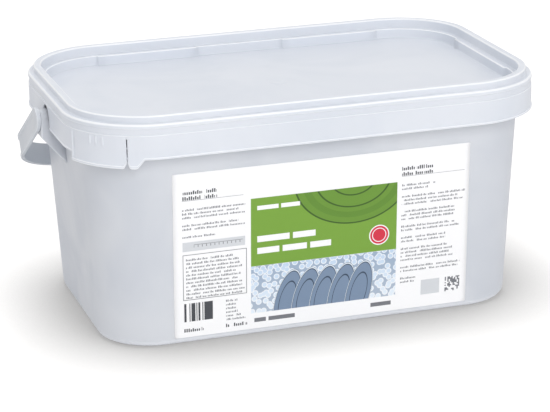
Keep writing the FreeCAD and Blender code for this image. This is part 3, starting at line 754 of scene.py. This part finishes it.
def lid_shell():
    """The lid's section round the outline, with its rows stretched down to the lower edge."""
    level = lid_height[:, None]
    reach = lid_reach[:, None]
    share = (stretch_top - edge_z) / (stretch_top - skirt_low)
    in_skirt = (level < stretch_top) & (reach > 0)
    height = np.where(in_skirt, stretch_top + (level - stretch_top) * share, level)
    outside = np.arange(len(lid_reach))[:, None] >= low_part.shape[1] - OUTSIDE_POINTS
    reach = np.where(reach > SKIRT_REACH, SKIRT_REACH + (reach - SKIRT_REACH) * bead_share, reach)
    bumps = relief(tab_angle, height) * (tab_angle > 0)
    reach = reach + np.where(outside & (level < stretch_top + 0.01), bumps, 0)
    recess = (reach < lug_start) & (reach > LEDGE_REACH - 1.2) & (level > panel - 0.1)
    ease = np.clip((lug_start - reach) / 0.4, 0, 1)
    reach = reach - np.where(recess, LUG_PROUD * ease * lug_share(lid_base, lid_normal), 0)
    wall = place(lid_base, lid_normal, reach, height, lid_edge[:, None])
    under = floor_rings(lid_base, lid_normal, PANEL_REACH, panel_under)
    top = floor_rings(lid_base, lid_normal, PANEL_REACH, panel, 0.35)
    grid = np.concatenate([under[::-1], wall, top])
    return skin(grid, (0, 0, panel_under), (0, 0, panel))


BRIDGE_HALF = 0.45
BRIDGE_ROOT = 0.3


def bridge(height):
    """A small plastic bridge left across the slit: a box with rounded long edges."""
    turn = math.radians(SLIT_ANGLE)
    corner = np.array([-centre_x, -centre_y])
    across = np.array([-math.cos(turn), math.sin(turn)])
    outward = np.array([-math.sin(turn), -math.cos(turn)])
    half = BRIDGE_HALF
    line = section([(-half, 0, 0), (-half, -half, 0.2), (half, -half, 0.2), (half, half, 0.2),
                    (-half, half, 0.2), (-half, 0, 0)], steps=3, longest=1.0)[:, :-1]
    depth, rise, edge = line
    middle = corner + outward * (skirt_turn - LID_WALL / 2)
    ends = np.array([-1, 1])[:, None] * (SLIT_HALF + BRIDGE_ROOT)
    flat = [middle[axis] + ends * across[axis] + depth * outward[axis] for axis in (0, 1)]
    grid = points_of(*flat, height + rise, edge)
    return skin(grid, grid[0].mean(0), grid[1].mean(0))


thirds = (TAB_DROP + SLIT_HEIGHT) / 3
bridges = [bridge(tab_low + thirds * step + BRIDGE_HALF) for step in (1, 2)]
lid = new_piece("lid_moulding", joined([lid_shell()] + bridges), lid_plastic,
                "lid", "lid")


# %% [markdown]
# The bail
#
# The bail is a flat strap bent to a U, with a round eye and an inward stud at each end, and
# a shallow channel along its outside that saves plastic. Its section is carried along the
# U: one parameter goes along the path and the other round the strap. Past the pivot the
# strap's half width shrinks as a circle does, which makes the round eye. It is made level
# and then turned down about its pivot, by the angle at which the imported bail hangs.

# %% The bail's path and section
STRAP = 2.4
STRAP_HALF = 7.25
BAIL_REACH = 102.6
BAIL_TURN = 44.0
CHANNEL = 0.6
CHANNEL_EDGE = 1.9
STUD = 3.0
STUD_LENGTH = 7.4
BAIL_ANGLE = math.radians(30.0)


def bail_path():
    """Points and outward normals along the U, and the strap's half width at each of them."""
    eye = -STRAP_HALF * np.cos(np.radians(np.linspace(0, 90, 15)))
    eye[0] += 0.01
    arm = np.concatenate([eye, [1.0, 3.0, 5.0, 7.25, 8.25], spread(8.25, BAIL_REACH - BAIL_TURN, 6)])
    turn = np.radians(np.linspace(0, 90, 19))
    bend_x = -(bail_outer - BAIL_TURN) - BAIL_TURN * np.cos(turn)
    bend_y = BAIL_REACH - BAIL_TURN + BAIL_TURN * np.sin(turn)
    cross = np.linspace(0, bail_outer - BAIL_TURN, 12)[1:] - (bail_outer - BAIL_TURN)
    x = np.concatenate([np.full(len(arm), -bail_outer), bend_x, cross])
    y = np.concatenate([arm, bend_y, np.full(len(cross), BAIL_REACH)])
    normal_x = np.concatenate([np.full(len(arm), -1.0), -np.cos(turn), np.zeros(len(cross))])
    normal_y = np.concatenate([np.zeros(len(arm)), np.sin(turn), np.ones(len(cross))])
    half = np.sqrt(np.clip(STRAP_HALF ** 2 - np.clip(y, None, 0) ** 2, 0, None))
    half = np.where(np.abs(x) < bail_outer - 0.001, STRAP_HALF, half)
    columns = [x, y, normal_x, normal_y, half]
    back = [np.concatenate([column, sign * column[-2::-1]])
            for column, sign in zip(columns, (-1, 1, -1, 1, 1))]
    return back


def strap():
    """The strap's section at each place of the path, level, as a closed skin."""
    x, y, normal_x, normal_y, half = bail_path()
    inner = STRAP_HALF - CHANNEL_EDGE
    line = section([(0, STRAP, 0), (-STRAP_HALF, STRAP, 0.5), (-STRAP_HALF, 0, 0.5),
                    (-inner, 0, 0.3), (-inner + 0.5, CHANNEL, 0.3), (inner - 0.5, CHANNEL, 0.3),
                    (inner, 0, 0.3), (STRAP_HALF, 0, 0.5), (STRAP_HALF, STRAP, 0.5),
                    (0, STRAP, 0)], steps=3, longest=4.0)[:, :-1]
    across, depth, edge = line
    in_channel = (np.abs(across) < inner + 0.35) & (depth < CHANNEL + 0.05)
    open_share = smooth_step(y, STRAP_HALF - 0.4, STRAP_HALF + 1.2)[:, None]
    depth = np.where(in_channel, depth * open_share, np.broadcast_to(depth, (len(x), len(depth))))
    grid = points_of(x[:, None] - normal_x[:, None] * depth, y[:, None] - normal_y[:, None] * depth,
                     across * (half / STRAP_HALF)[:, None], edge)
    return skin(grid, grid[0].mean(0), grid[-1].mean(0))


def stud():
    """The right stud: a round pin turned about X, from inside the eye to its rounded tip."""
    start = bail_outer - STRAP / 2
    tip = bail_outer - STRAP - STUD_LENGTH
    along, radius, edge = section([(start, STUD, 0), (tip, STUD, 0.6), (tip, 0, 0)], longest=3.0)
    turn = np.radians(np.arange(0, 360, 10))[::-1]
    grid = points_of(along[:-1, None], radius[:-1, None] * np.cos(turn),
                     radius[:-1, None] * np.sin(turn))
    return skin(grid[::-1], (tip, 0, 0), (start, 0, 0))


def lowered(patch):
    """The patch turned down behind the tub about the pivot line, and lifted to the pivot."""
    points, quads, triangles = patch
    x, y, z, edge = points.T
    turned = points_of(x, y * math.cos(BAIL_ANGLE) + z * math.sin(BAIL_ANGLE),
                       z * math.cos(BAIL_ANGLE) - y * math.sin(BAIL_ANGLE) + pivot, edge)
    return turned, quads, triangles


bail = new_piece("bail_strap", lowered(joined([strap(), stud(), mirrored(stud())])), bail_plastic,
                 "bail", "bail_handle")


# %% [markdown]
# The label's print
#
# The label is white film with printed fields. All of it is drawn by nodes from the place on
# the label in millimetres, x to the right and z up, because a procedure stays sharp at any
# distance. One small group makes a filled field with soft edges, and a function makes rows
# of strokes broken like words, which stand for small print without being any. The fields
# hold plain colours, ripples, plates and bubbles, common motifs for washing up.

# %% The group for a printed field
INK_EDGE = 0.12


def smooth_edge(tree, value, level):
    """1 where a value is above a level, easing over the width of an ink edge."""
    above = math_node(tree, "SUBTRACT", value, level)
    return add_node(tree, "ShaderNodeMapRange",
                    {"Value": above, "From Min": 0.0, "From Max": INK_EDGE}).outputs[0]


field, entry, leave = new_group(
    "printed field",
    [(name, FLOAT, 0.0) for name in ("X", "X End", "Z", "Left", "Right", "Low", "High")],
    [("Mask", FLOAT)])
place_in = entry.outputs
sides = [smooth_edge(field, place_in["X"], place_in["Left"]),
         smooth_edge(field, place_in["Right"], place_in["X End"]),
         smooth_edge(field, place_in["Z"], place_in["Low"]),
         smooth_edge(field, place_in["High"], place_in["Z"])]
wide = math_node(field, "MULTIPLY", sides[0], sides[1])
tall = math_node(field, "MULTIPLY", sides[2], sides[3])
field.links.new(math_node(field, "MULTIPLY", wide, tall), leave.inputs["Mask"])
print("group", field.name, "with", len(field.nodes), "nodes")

# %% Ink on the label
INK_DARK = srgb(72, 74, 80)
INK_GREY = srgb(120, 122, 128)
INK_PALE = srgb(214, 217, 221)
PAPER = srgb(252, 252, 253)
GREEN = srgb(122, 165, 60)
GREEN_DEEP = srgb(92, 135, 46)
GREEN_LINE = srgb(62, 96, 34)
RED = srgb(214, 48, 70)
SKY = srgb(196, 216, 238)
SKY_PALE = srgb(232, 241, 250)
SLATE = srgb(58, 74, 94)
SLATE_PALE = srgb(124, 144, 170)

film = bpy.data.materials.new("label_print")
film.use_nodes = True
print_tree = film.node_tree
print_tree.nodes.clear()
seen = add_node(print_tree, "ShaderNodeSeparateXYZ",
                {"Vector": add_node(print_tree, "ShaderNodeTexCoord").outputs["Object"]})
x_mm = math_node(print_tree, "MULTIPLY", seen.outputs["X"], 1 / MM)
z_mm = math_node(print_tree, "MULTIPLY", seen.outputs["Z"], 1 / MM)


def calc(operation, *inputs):
    """One Math node in the label's own tree."""
    return math_node(print_tree, operation, *inputs)


def both(*masks):
    """Where all the masks are."""
    result = masks[0]
    for mask in masks[1:]:
        result = calc("MULTIPLY", result, mask)
    return result


def without(mask):
    """Where a mask isn't."""
    return calc("SUBTRACT", 1.0, mask)


def patch_mask(left, right, low, high, x_end=None):
    """A filled rectangle, whose right edge may be measured on an x of its own."""
    return use_group(print_tree, field, {
        "X": x_mm, "X End": x_mm if x_end is None else x_end, "Z": z_mm, "Left": left,
        "Right": right, "Low": low, "High": high}).outputs["Mask"]


def noise_of(value):
    """A chance from 0 to 1 that belongs to a number."""
    return add_node(print_tree, "ShaderNodeTexWhiteNoise", {"W": value},
                    noise_dimensions="1D").outputs["Value"]


def broken_rows(pitch, start, tall, letter, word, ragged):
    """Rows of upright strokes in groups like words, and an x on which the rows end unevenly.

    Each row fills a share of its pitch, and two strokes in three stop below the row's top.
    """
    row_place = calc("DIVIDE", calc("SUBTRACT", z_mm, start), pitch)
    height = calc("FRACT", row_place)
    chance = noise_of(calc("MULTIPLY", calc("FLOOR", row_place), 1.7))
    walk = calc("MULTIPLY_ADD", chance, 7.3, calc("DIVIDE", x_mm, word))
    bent = calc("MULTIPLY_ADD", calc("SINE", calc("MULTIPLY", walk, 2.3)), 0.3, walk)
    in_word = calc("GREATER_THAN", calc("FRACT", bent), 0.16)
    stroke_place = calc("DIVIDE", x_mm, letter)
    stroke = calc("LESS_THAN", calc("FRACT", stroke_place), 0.66)
    stroke_chance = noise_of(calc("MULTIPLY_ADD", calc("FLOOR", stroke_place), 0.37, chance))
    top = calc("MULTIPLY_ADD", calc("LESS_THAN", stroke_chance, 0.66), -0.3 * tall, tall)
    strokes = both(in_word, stroke, calc("LESS_THAN", height, top))
    return strokes, calc("MULTIPLY_ADD", chance, ragged, x_mm)


def distance_mm(x, z, stretch=1.0, tilt=0.0):
    """Distance from a point, over axes that may be tilted and of which one is stretched."""
    across = calc("SUBTRACT", x_mm, x)
    up = calc("SUBTRACT", z_mm, z)
    turned_x = calc("ADD", calc("MULTIPLY", across, math.cos(tilt)), calc("MULTIPLY", up, math.sin(tilt)))
    turned_z = calc("SUBTRACT", calc("MULTIPLY", up, math.cos(tilt)),
                    calc("MULTIPLY", across, math.sin(tilt)))
    wide = calc("MULTIPLY", turned_x, stretch)
    return calc("SQRT", calc("ADD", calc("MULTIPLY", wide, wide), calc("MULTIPLY", turned_z, turned_z)))


def disc_mask(distance, radius):
    """Within a radius of the point that the distance is from."""
    return smooth_edge(print_tree, radius, distance)


def ring_mask(distance, radius, width):
    """On a ring of a width, with the radius along its middle."""
    return both(disc_mask(distance, radius + width / 2),
                without(disc_mask(distance, radius - width / 2)))


def paint(below, ink, mask):
    """Ink laid over what is below, where a mask is."""
    return add_node(print_tree, "ShaderNodeMix", {"Factor": mask, "A": below, "B": ink},
                    data_type="RGBA").outputs["Result"]


print("label ink", len(print_tree.nodes), "nodes so far")


# %% [markdown]
# The side columns
#
# A printer lays one ink over another, and so does this cell: each step paints an ink where
# a mask is, over what was there. All the rows share two patterns of strokes, and a block
# only says where its pattern shows. A pattern for each block would need more values at
# once than the renderer holds, and the label would turn black.

# %% The two side columns of the label
colour = add_node(print_tree, "ShaderNodeRGB").outputs[0]
colour.default_value = PAPER
LEFT = -87.5
RIGHT = 51.0
# Fields of one ink: left, right, low, high, in millimetres.
pale_fields = [(LEFT, -48.5, 60.0, 66.0), (65.0, 77.5, 12.5, 22.5)]
grey_lines = [(LEFT, -49.5, 92.0, 92.35), (RIGHT, 92.0, 92.0, 92.35)]
frame_box = (LEFT, -47.5, 28.5, 58.0)
FRAME_LINE = 0.4
STRIPE_WIDTH = 0.62
CELL_WIDTH = 0.9
for box in pale_fields:
    colour = paint(colour, INK_PALE, patch_mask(*box))
for box in grey_lines:
    colour = paint(colour, INK_GREY, patch_mask(*box))
left, right, low, high = frame_box
inner_box = (left + FRAME_LINE, right - FRAME_LINE, low + FRAME_LINE, high - FRAME_LINE)
outline = both(patch_mask(*frame_box), without(patch_mask(*inner_box)))
colour = paint(colour, INK_GREY, outline)
ticks = calc("LESS_THAN", calc("FRACT", calc("DIVIDE", x_mm, 2.6)), 0.16)
colour = paint(colour, INK_GREY, both(ticks, patch_mask(LEFT + 7, -50.0, 62.2, 63.8)))
colour = paint(colour, INK_GREY, patch_mask(LEFT + 7, -50.0, 63.8, 64.2))
stripes = calc("GREATER_THAN", noise_of(calc("FLOOR", calc("DIVIDE", x_mm, STRIPE_WIDTH))), 0.45)
colour = paint(colour, INK_DARK, both(stripes, patch_mask(-87.0, -69.0, 14.5, 26.5)))
cell_x = calc("FLOOR", calc("DIVIDE", x_mm, CELL_WIDTH))
cell_z = calc("FLOOR", calc("DIVIDE", z_mm, CELL_WIDTH))
cells = calc("GREATER_THAN", noise_of(calc("MULTIPLY_ADD", cell_z, 7.3, cell_x)), 0.5)
colour = paint(colour, INK_GREY, both(cells, patch_mask(81.0, 90.9, 12.6, 22.5)))

# Two kinds of print: titles and small print. Each block of rows is given as left, right, the
# number of its lowest row and its count of rows.
TITLE_PITCH = 3.53
TITLE_START = 0.71
SMALL_PITCH = 2.45
title_blocks = [(LEFT, -64.0, 26, 2), (RIGHT, 73.0, 26, 2), (LEFT, -74.0, 2, 1),
                (-61.0, -46.5, 2, 1)]
small_blocks = [(LEFT, -47.0, 33, 3), (LEFT, -47.0, 30, 2), (LEFT, -62.0, 28, 1),
                (LEFT + 2, -48.5, 12, 11), (-61.0, -47.0, 5, 6), (RIGHT, 74.0, 34, 2),
                (RIGHT, 93.0, 30, 3), (RIGHT, 91.0, 26, 3), (RIGHT, 93.0, 23, 2),
                (RIGHT, 84.0, 20, 2), (RIGHT, 88.0, 15, 4), (RIGHT, 91.0, 12, 2),
                (RIGHT, 68.0, 9, 2)]
title_rows, title_end = broken_rows(TITLE_PITCH, TITLE_START, 0.66, 1.3, 9.5, 3.0)
small_rows, small_end = broken_rows(SMALL_PITCH, 0.0, 0.55, 0.95, 5.0, 8.0)
for ink, pitch, start, strokes, x_end, blocks in (
        (INK_DARK, TITLE_PITCH, TITLE_START, title_rows, title_end, title_blocks),
        (INK_GREY, SMALL_PITCH, 0.0, small_rows, small_end, small_blocks)):
    for left, right, lowest, count in blocks:
        low = start + pitch * lowest
        block = patch_mask(left, right, low, low + pitch * count, x_end)
        colour = paint(colour, ink, both(strokes, block))
print("side columns drawn:", len(title_blocks) + len(small_blocks), "blocks of rows")


# %% [markdown]
# The two middle fields
#
# The upper field is green, with rings like ripples on water, white bars and a disc. The
# lower one is a picture field: pale foam from a Voronoi pattern, and plates that stand
# side by side, each drawn as discs and rings on a stretched and tilted distance.

# %% The green field and the picture field
MIDDLE_LEFT = -45.0
MIDDLE_RIGHT = 48.3
FIELD_LOW = 45.3
FIELD_HIGH = 89.0
PICTURE_LOW = 14.6
green_field = patch_mask(MIDDLE_LEFT, MIDDLE_RIGHT, FIELD_LOW, FIELD_HIGH)
ripple = distance_mm(20.0, 96.0, 0.8)
green = paint(GREEN, GREEN_DEEP, both(disc_mask(ripple, 30.0), 0.55))
for radius in (12.0, 19.5, 30.0):
    green = paint(green, GREEN_LINE, ring_mask(ripple, radius, 0.9))
green = paint(green, GREEN_DEEP, both(ring_mask(ripple, 24.5, 3.6), 0.6))
# White bars: left, right, low, high.
white_bars = [(-41.0, -20.5, 60.6, 64.6), (-18.5, -4.0, 60.6, 64.6), (-41.0, -27.0, 53.0, 57.0),
              (-25.0, -9.5, 53.0, 57.0), (-7.5, 6.0, 53.0, 57.0), (-41.0, -27.5, 81.2, 84.0),
              (-26.0, -14.0, 81.2, 84.0)]
for bar in white_bars:
    green = paint(green, PAPER, patch_mask(*bar))
badge = distance_mm(37.0, 56.0)
green = paint(green, PAPER, disc_mask(badge, 6.6))
green = paint(green, RED, disc_mask(badge, 5.9))
green = paint(green, PAPER, ring_mask(badge, 4.4, 0.5))
colour = paint(colour, green, green_field)

picture_field = patch_mask(MIDDLE_LEFT, MIDDLE_RIGHT, PICTURE_LOW, FIELD_LOW)
fade = add_node(print_tree, "ShaderNodeMapRange",
                {"Value": z_mm, "From Min": PICTURE_LOW, "From Max": FIELD_LOW}).outputs[0]
picture = paint(SKY_PALE, SKY, fade)
foam = add_node(print_tree, "ShaderNodeTexVoronoi", {
    "Vector": add_node(print_tree, "ShaderNodeCombineXYZ", {"X": x_mm, "Y": z_mm}).outputs[0],
    "Scale": 0.26, "Randomness": 0.9}, voronoi_dimensions="2D").outputs["Distance"]
picture = paint(picture, SLATE_PALE, both(smooth_edge(print_tree, foam, 0.42), 0.6))
picture = paint(picture, PAPER, both(smooth_edge(print_tree, foam, 0.30),
                                     without(smooth_edge(print_tree, foam, 0.40))))
PLATES = 5
for step in range(PLATES):
    plate = distance_mm(-22.0 + 11.5 * step, 20.0, 2.6, math.radians(-14))
    picture = paint(picture, SLATE, disc_mask(plate, 21.0))
    picture = paint(picture, SLATE_PALE, disc_mask(plate, 19.4))
    picture = paint(picture, SLATE, ring_mask(plate, 13.0, 1.0))
    picture = paint(picture, SKY_PALE, ring_mask(plate, 20.4, 0.7))
colour = paint(colour, picture, picture_field)
CAPTION_LOW = 8.6
CAPTION_HIGH = 11.4
for left, right in ((-43.0, -35.5), (-34.0, -17.0), (32.0, 45.5)):
    colour = paint(colour, INK_GREY, patch_mask(left, right, CAPTION_LOW, CAPTION_HIGH))
print("label ink", len(print_tree.nodes), "nodes")


# %% [markdown]
# The film's finish
#
# Printed film has a satin gloss that isn't even, and it never lies quite flat. One broad
# noise changes its roughness a little and tilts its surface, so that reflections wander.

# %% The film itself
shader = add_node(print_tree, "ShaderNodeBsdfPrincipled", {"Base Color": colour, "IOR": 1.45})
wave = add_node(print_tree, "ShaderNodeTexNoise", {
    "Vector": add_node(print_tree, "ShaderNodeTexCoord").outputs["Object"],
    "Scale": 35.0, "Detail": 2.0}).outputs["Fac"]
film_gloss = add_node(print_tree, "ShaderNodeMapRange",
                      {"Value": wave, "To Min": 0.34, "To Max": 0.46}).outputs[0]
print_tree.links.new(film_gloss, shader.inputs["Roughness"])
film_bump = add_node(print_tree, "ShaderNodeBump",
                     {"Strength": 0.10, "Distance": 0.001, "Height": wave})
print_tree.links.new(film_bump.outputs["Normal"], shader.inputs["Normal"])
film_output = add_node(print_tree, "ShaderNodeOutputMaterial")
print_tree.links.new(shader.outputs["BSDF"], film_output.inputs["Surface"])


# %% [markdown]
# The label's sheet
#
# The label is a film a fifth of a millimetre thick that lies on the leaning wall. It is a
# grid over its width and height. Near the top and bottom the rows draw in as a circle does,
# which rounds its corners, and a slow wave of a few hundredths of a millimetre keeps it from
# looking like glass. The two faces are one closed loop of columns, so that the film has its
# real thickness.

# %% The label
LABEL_CORNER = 0.8
LABEL_THICK = 0.2


def label_sheet(columns=49, rows_up=41):
    """Front and back of the film: across by up, drawn in at the corners, on the wall's lean."""
    left, right = label_low[0], label_high[0]
    low, high = label_low[2], label_high[2]
    ease = LABEL_CORNER * (1 - np.cos(np.radians(np.linspace(0, 90, 8))))
    up = np.concatenate([low + ease, spread(low + LABEL_CORNER, high - LABEL_CORNER,
                                            (high - low) / rows_up), high - ease[::-1]])
    short = np.clip(LABEL_CORNER - np.minimum(up - low, high - up), 0, None)
    draw_in = LABEL_CORNER - np.sqrt(np.clip(LABEL_CORNER ** 2 - short ** 2, 0, None))
    share = np.linspace(0, 1, columns)
    x = (left + draw_in)[:, None] + share * (right - left - 2 * draw_in)[:, None]
    z = np.broadcast_to(up[:, None], x.shape)
    wall = -(centre_y + CORNER + BASE_REACH) - lean * z
    lift = 0.03 * np.sin(x / 17 + z / 23) + 0.03 * np.sin(x / 9 - z / 14)
    front = points_of(x, wall - LABEL_THICK - np.abs(lift), z)
    behind = points_of(x, wall, z)
    grid = np.concatenate([front, behind[:, ::-1]], axis=1)
    points, quads, triangles = skin(grid)
    ends = []
    for first, turn in ((0, 1), ((len(up) - 1) * 2 * columns, -1)):
        one = first + np.arange(columns - 1)
        other = first + 2 * columns - 1 - np.arange(columns - 1)
        ends.append(np.stack([one, other, other - 1, one + 1], axis=1)[:, ::turn])
    return points, np.vstack([quads] + ends), triangles


label = new_piece("label_film", label_sheet(), film, "tub", "front_label")


# %% [markdown]
# The stage
#
# The photograph is a white product shot: light comes softly from everywhere, a little more
# from the front and above. The floor and the world look white to the camera through the
# Light Path node, while the object is lit at a plain level, at which a colour renders about
# as it is written. The camera sees the floor as a fifth of real shading and the rest its
# own white, which darkens close to the tub by ambient occlusion. Both keep the tub's soft
# shadow.

# %% World and floor
scene = bpy.context.scene
scene.view_settings.view_transform = "Standard"
world = bpy.data.worlds.new("studio")
scene.world = world
world.use_nodes = True
sky = world.node_tree
sky.nodes.clear()
path = add_node(sky, "ShaderNodeLightPath")
seen_white = math_node(sky, "MAXIMUM", path.outputs["Is Camera Ray"], math_node(
    sky, "MAXIMUM", path.outputs["Is Glossy Ray"], path.outputs["Is Transmission Ray"]))
ambient = add_node(sky, "ShaderNodeBackground", {"Color": srgb(250, 250, 252), "Strength": 0.66})
white = add_node(sky, "ShaderNodeBackground", {"Color": (1, 1, 1, 1), "Strength": 1.0})
sky_mix = add_node(sky, "ShaderNodeMixShader", {"Fac": seen_white})
sky.links.new(ambient.outputs[0], sky_mix.inputs[1])
sky.links.new(white.outputs[0], sky_mix.inputs[2])
sky.links.new(sky_mix.outputs[0], add_node(sky, "ShaderNodeOutputWorld").inputs["Surface"])

FLOOR_HALF = 4.0
floor_mesh = bpy.data.meshes.new("floor")
floor_mesh.from_pydata([(-FLOOR_HALF, -FLOOR_HALF, 0), (FLOOR_HALF, -FLOOR_HALF, 0),
                        (FLOOR_HALF, FLOOR_HALF, 0), (-FLOOR_HALF, FLOOR_HALF, 0)],
                       [], [(0, 1, 2, 3)])
floor = bpy.data.objects.new("floor", floor_mesh)
scene.collection.objects.link(floor)
floor_paint = bpy.data.materials.new("white floor")
floor_paint.use_nodes = True
ground = floor_paint.node_tree
ground.nodes.clear()
FLOOR_SHADE = 0.2
FLOOR_LIFT = 1.2
NEAR_DISTANCE = 0.065
NEAR_POWER = 1.35
NEAR_DARKEST = 0.36
matte = add_node(ground, "ShaderNodeBsdfDiffuse", {"Color": (0.93, 0.925, 0.92, 1)})
near = add_node(ground, "ShaderNodeAmbientOcclusion", {"Distance": NEAR_DISTANCE},
                samples=16).outputs["AO"]
darkened = math_node(ground, "POWER", near, NEAR_POWER)
open_share = math_node(ground, "MAXIMUM", darkened, NEAR_DARKEST)
open_floor = math_node(ground, "MULTIPLY", open_share, FLOOR_LIFT)
clear = add_node(ground, "ShaderNodeEmission", {"Color": srgb(255, 254, 253), "Strength": open_floor})
view_path = add_node(ground, "ShaderNodeLightPath")
share = math_node(ground, "MULTIPLY", view_path.outputs["Is Camera Ray"], 1 - FLOOR_SHADE)
floor_mix = add_node(ground, "ShaderNodeMixShader", {"Fac": share})
ground.links.new(matte.outputs[0], floor_mix.inputs[1])
ground.links.new(clear.outputs[0], floor_mix.inputs[2])
ground.links.new(floor_mix.outputs[0], add_node(ground, "ShaderNodeOutputMaterial").inputs["Surface"])
floor_mesh.materials.append(floor_paint)
print("floor and world ready")


# %% [markdown]
# The lamps
#
# Two large square lamps stand for a studio's soft boxes: one in front, which lights the
# labelled side, and a weaker one above and a little behind, which lights the lid.

# %% Lamps
def soft_lamp(name, spot, aim, size, power):
    """A square area lamp at a place, turned towards another, in metres and watts."""
    lamp = bpy.data.lights.new(name, "AREA")
    lamp.shape = "SQUARE"
    lamp.size = size
    lamp.energy = power
    holder = bpy.data.objects.new(name, lamp)
    direction = np.array(aim) - np.array(spot)
    level = math.hypot(direction[0], direction[1])
    holder.location = spot
    holder.rotation_euler = (math.atan2(level, -direction[2]), 0,
                             math.atan2(direction[1], direction[0]) - math.pi / 2)
    scene.collection.objects.link(holder)
    return holder


MIDDLE = (0.0, 0.0, 0.07)
soft_lamp("front lamp", (0.0, -1.8, 1.1), MIDDLE, 1.2, 15.5)
soft_lamp("top lamp", (-0.2, 0.8, 1.7), MIDDLE, 1.2, 6.0)

# %% [markdown]
# The camera
#
# The camera was solved from the outlines of the lid and the tub in the photograph. It
# stands about a metre and a half away, turned to the left of the front, and looks down a little.
# The small shift is there because the picture was cropped off its optical centre.

# %% The camera
AZIMUTH = math.radians(-17.733)
ELEVATION = math.radians(18.418)
ROLL = math.radians(-0.9707)
DISTANCE = 1432.8
TARGET = np.array([0.0, 0.0, 43.4])
back = np.array([math.sin(AZIMUTH) * math.cos(ELEVATION),
                 -math.cos(AZIMUTH) * math.cos(ELEVATION), math.sin(ELEVATION)])
level_right = np.array([math.cos(AZIMUTH), math.sin(AZIMUTH), 0.0])
level_up = np.cross(back, level_right)
right_way = math.cos(ROLL) * level_right + math.sin(ROLL) * level_up
up_way = math.cos(ROLL) * level_up - math.sin(ROLL) * level_right
lens = bpy.data.cameras.new("camera")
lens.sensor_width = 36.0
lens.lens = 146.57
lens.shift_x = -0.00967
lens.shift_y = 0.02817
camera = bpy.data.objects.new("camera", lens)
eye = (TARGET + back * DISTANCE) * MM
camera.matrix_world = Matrix(np.column_stack([right_way, up_way, back, eye]).tolist() + [[0, 0, 0, 1]])
scene.collection.objects.link(camera)
scene.camera = camera
print("camera", eye.round(3))
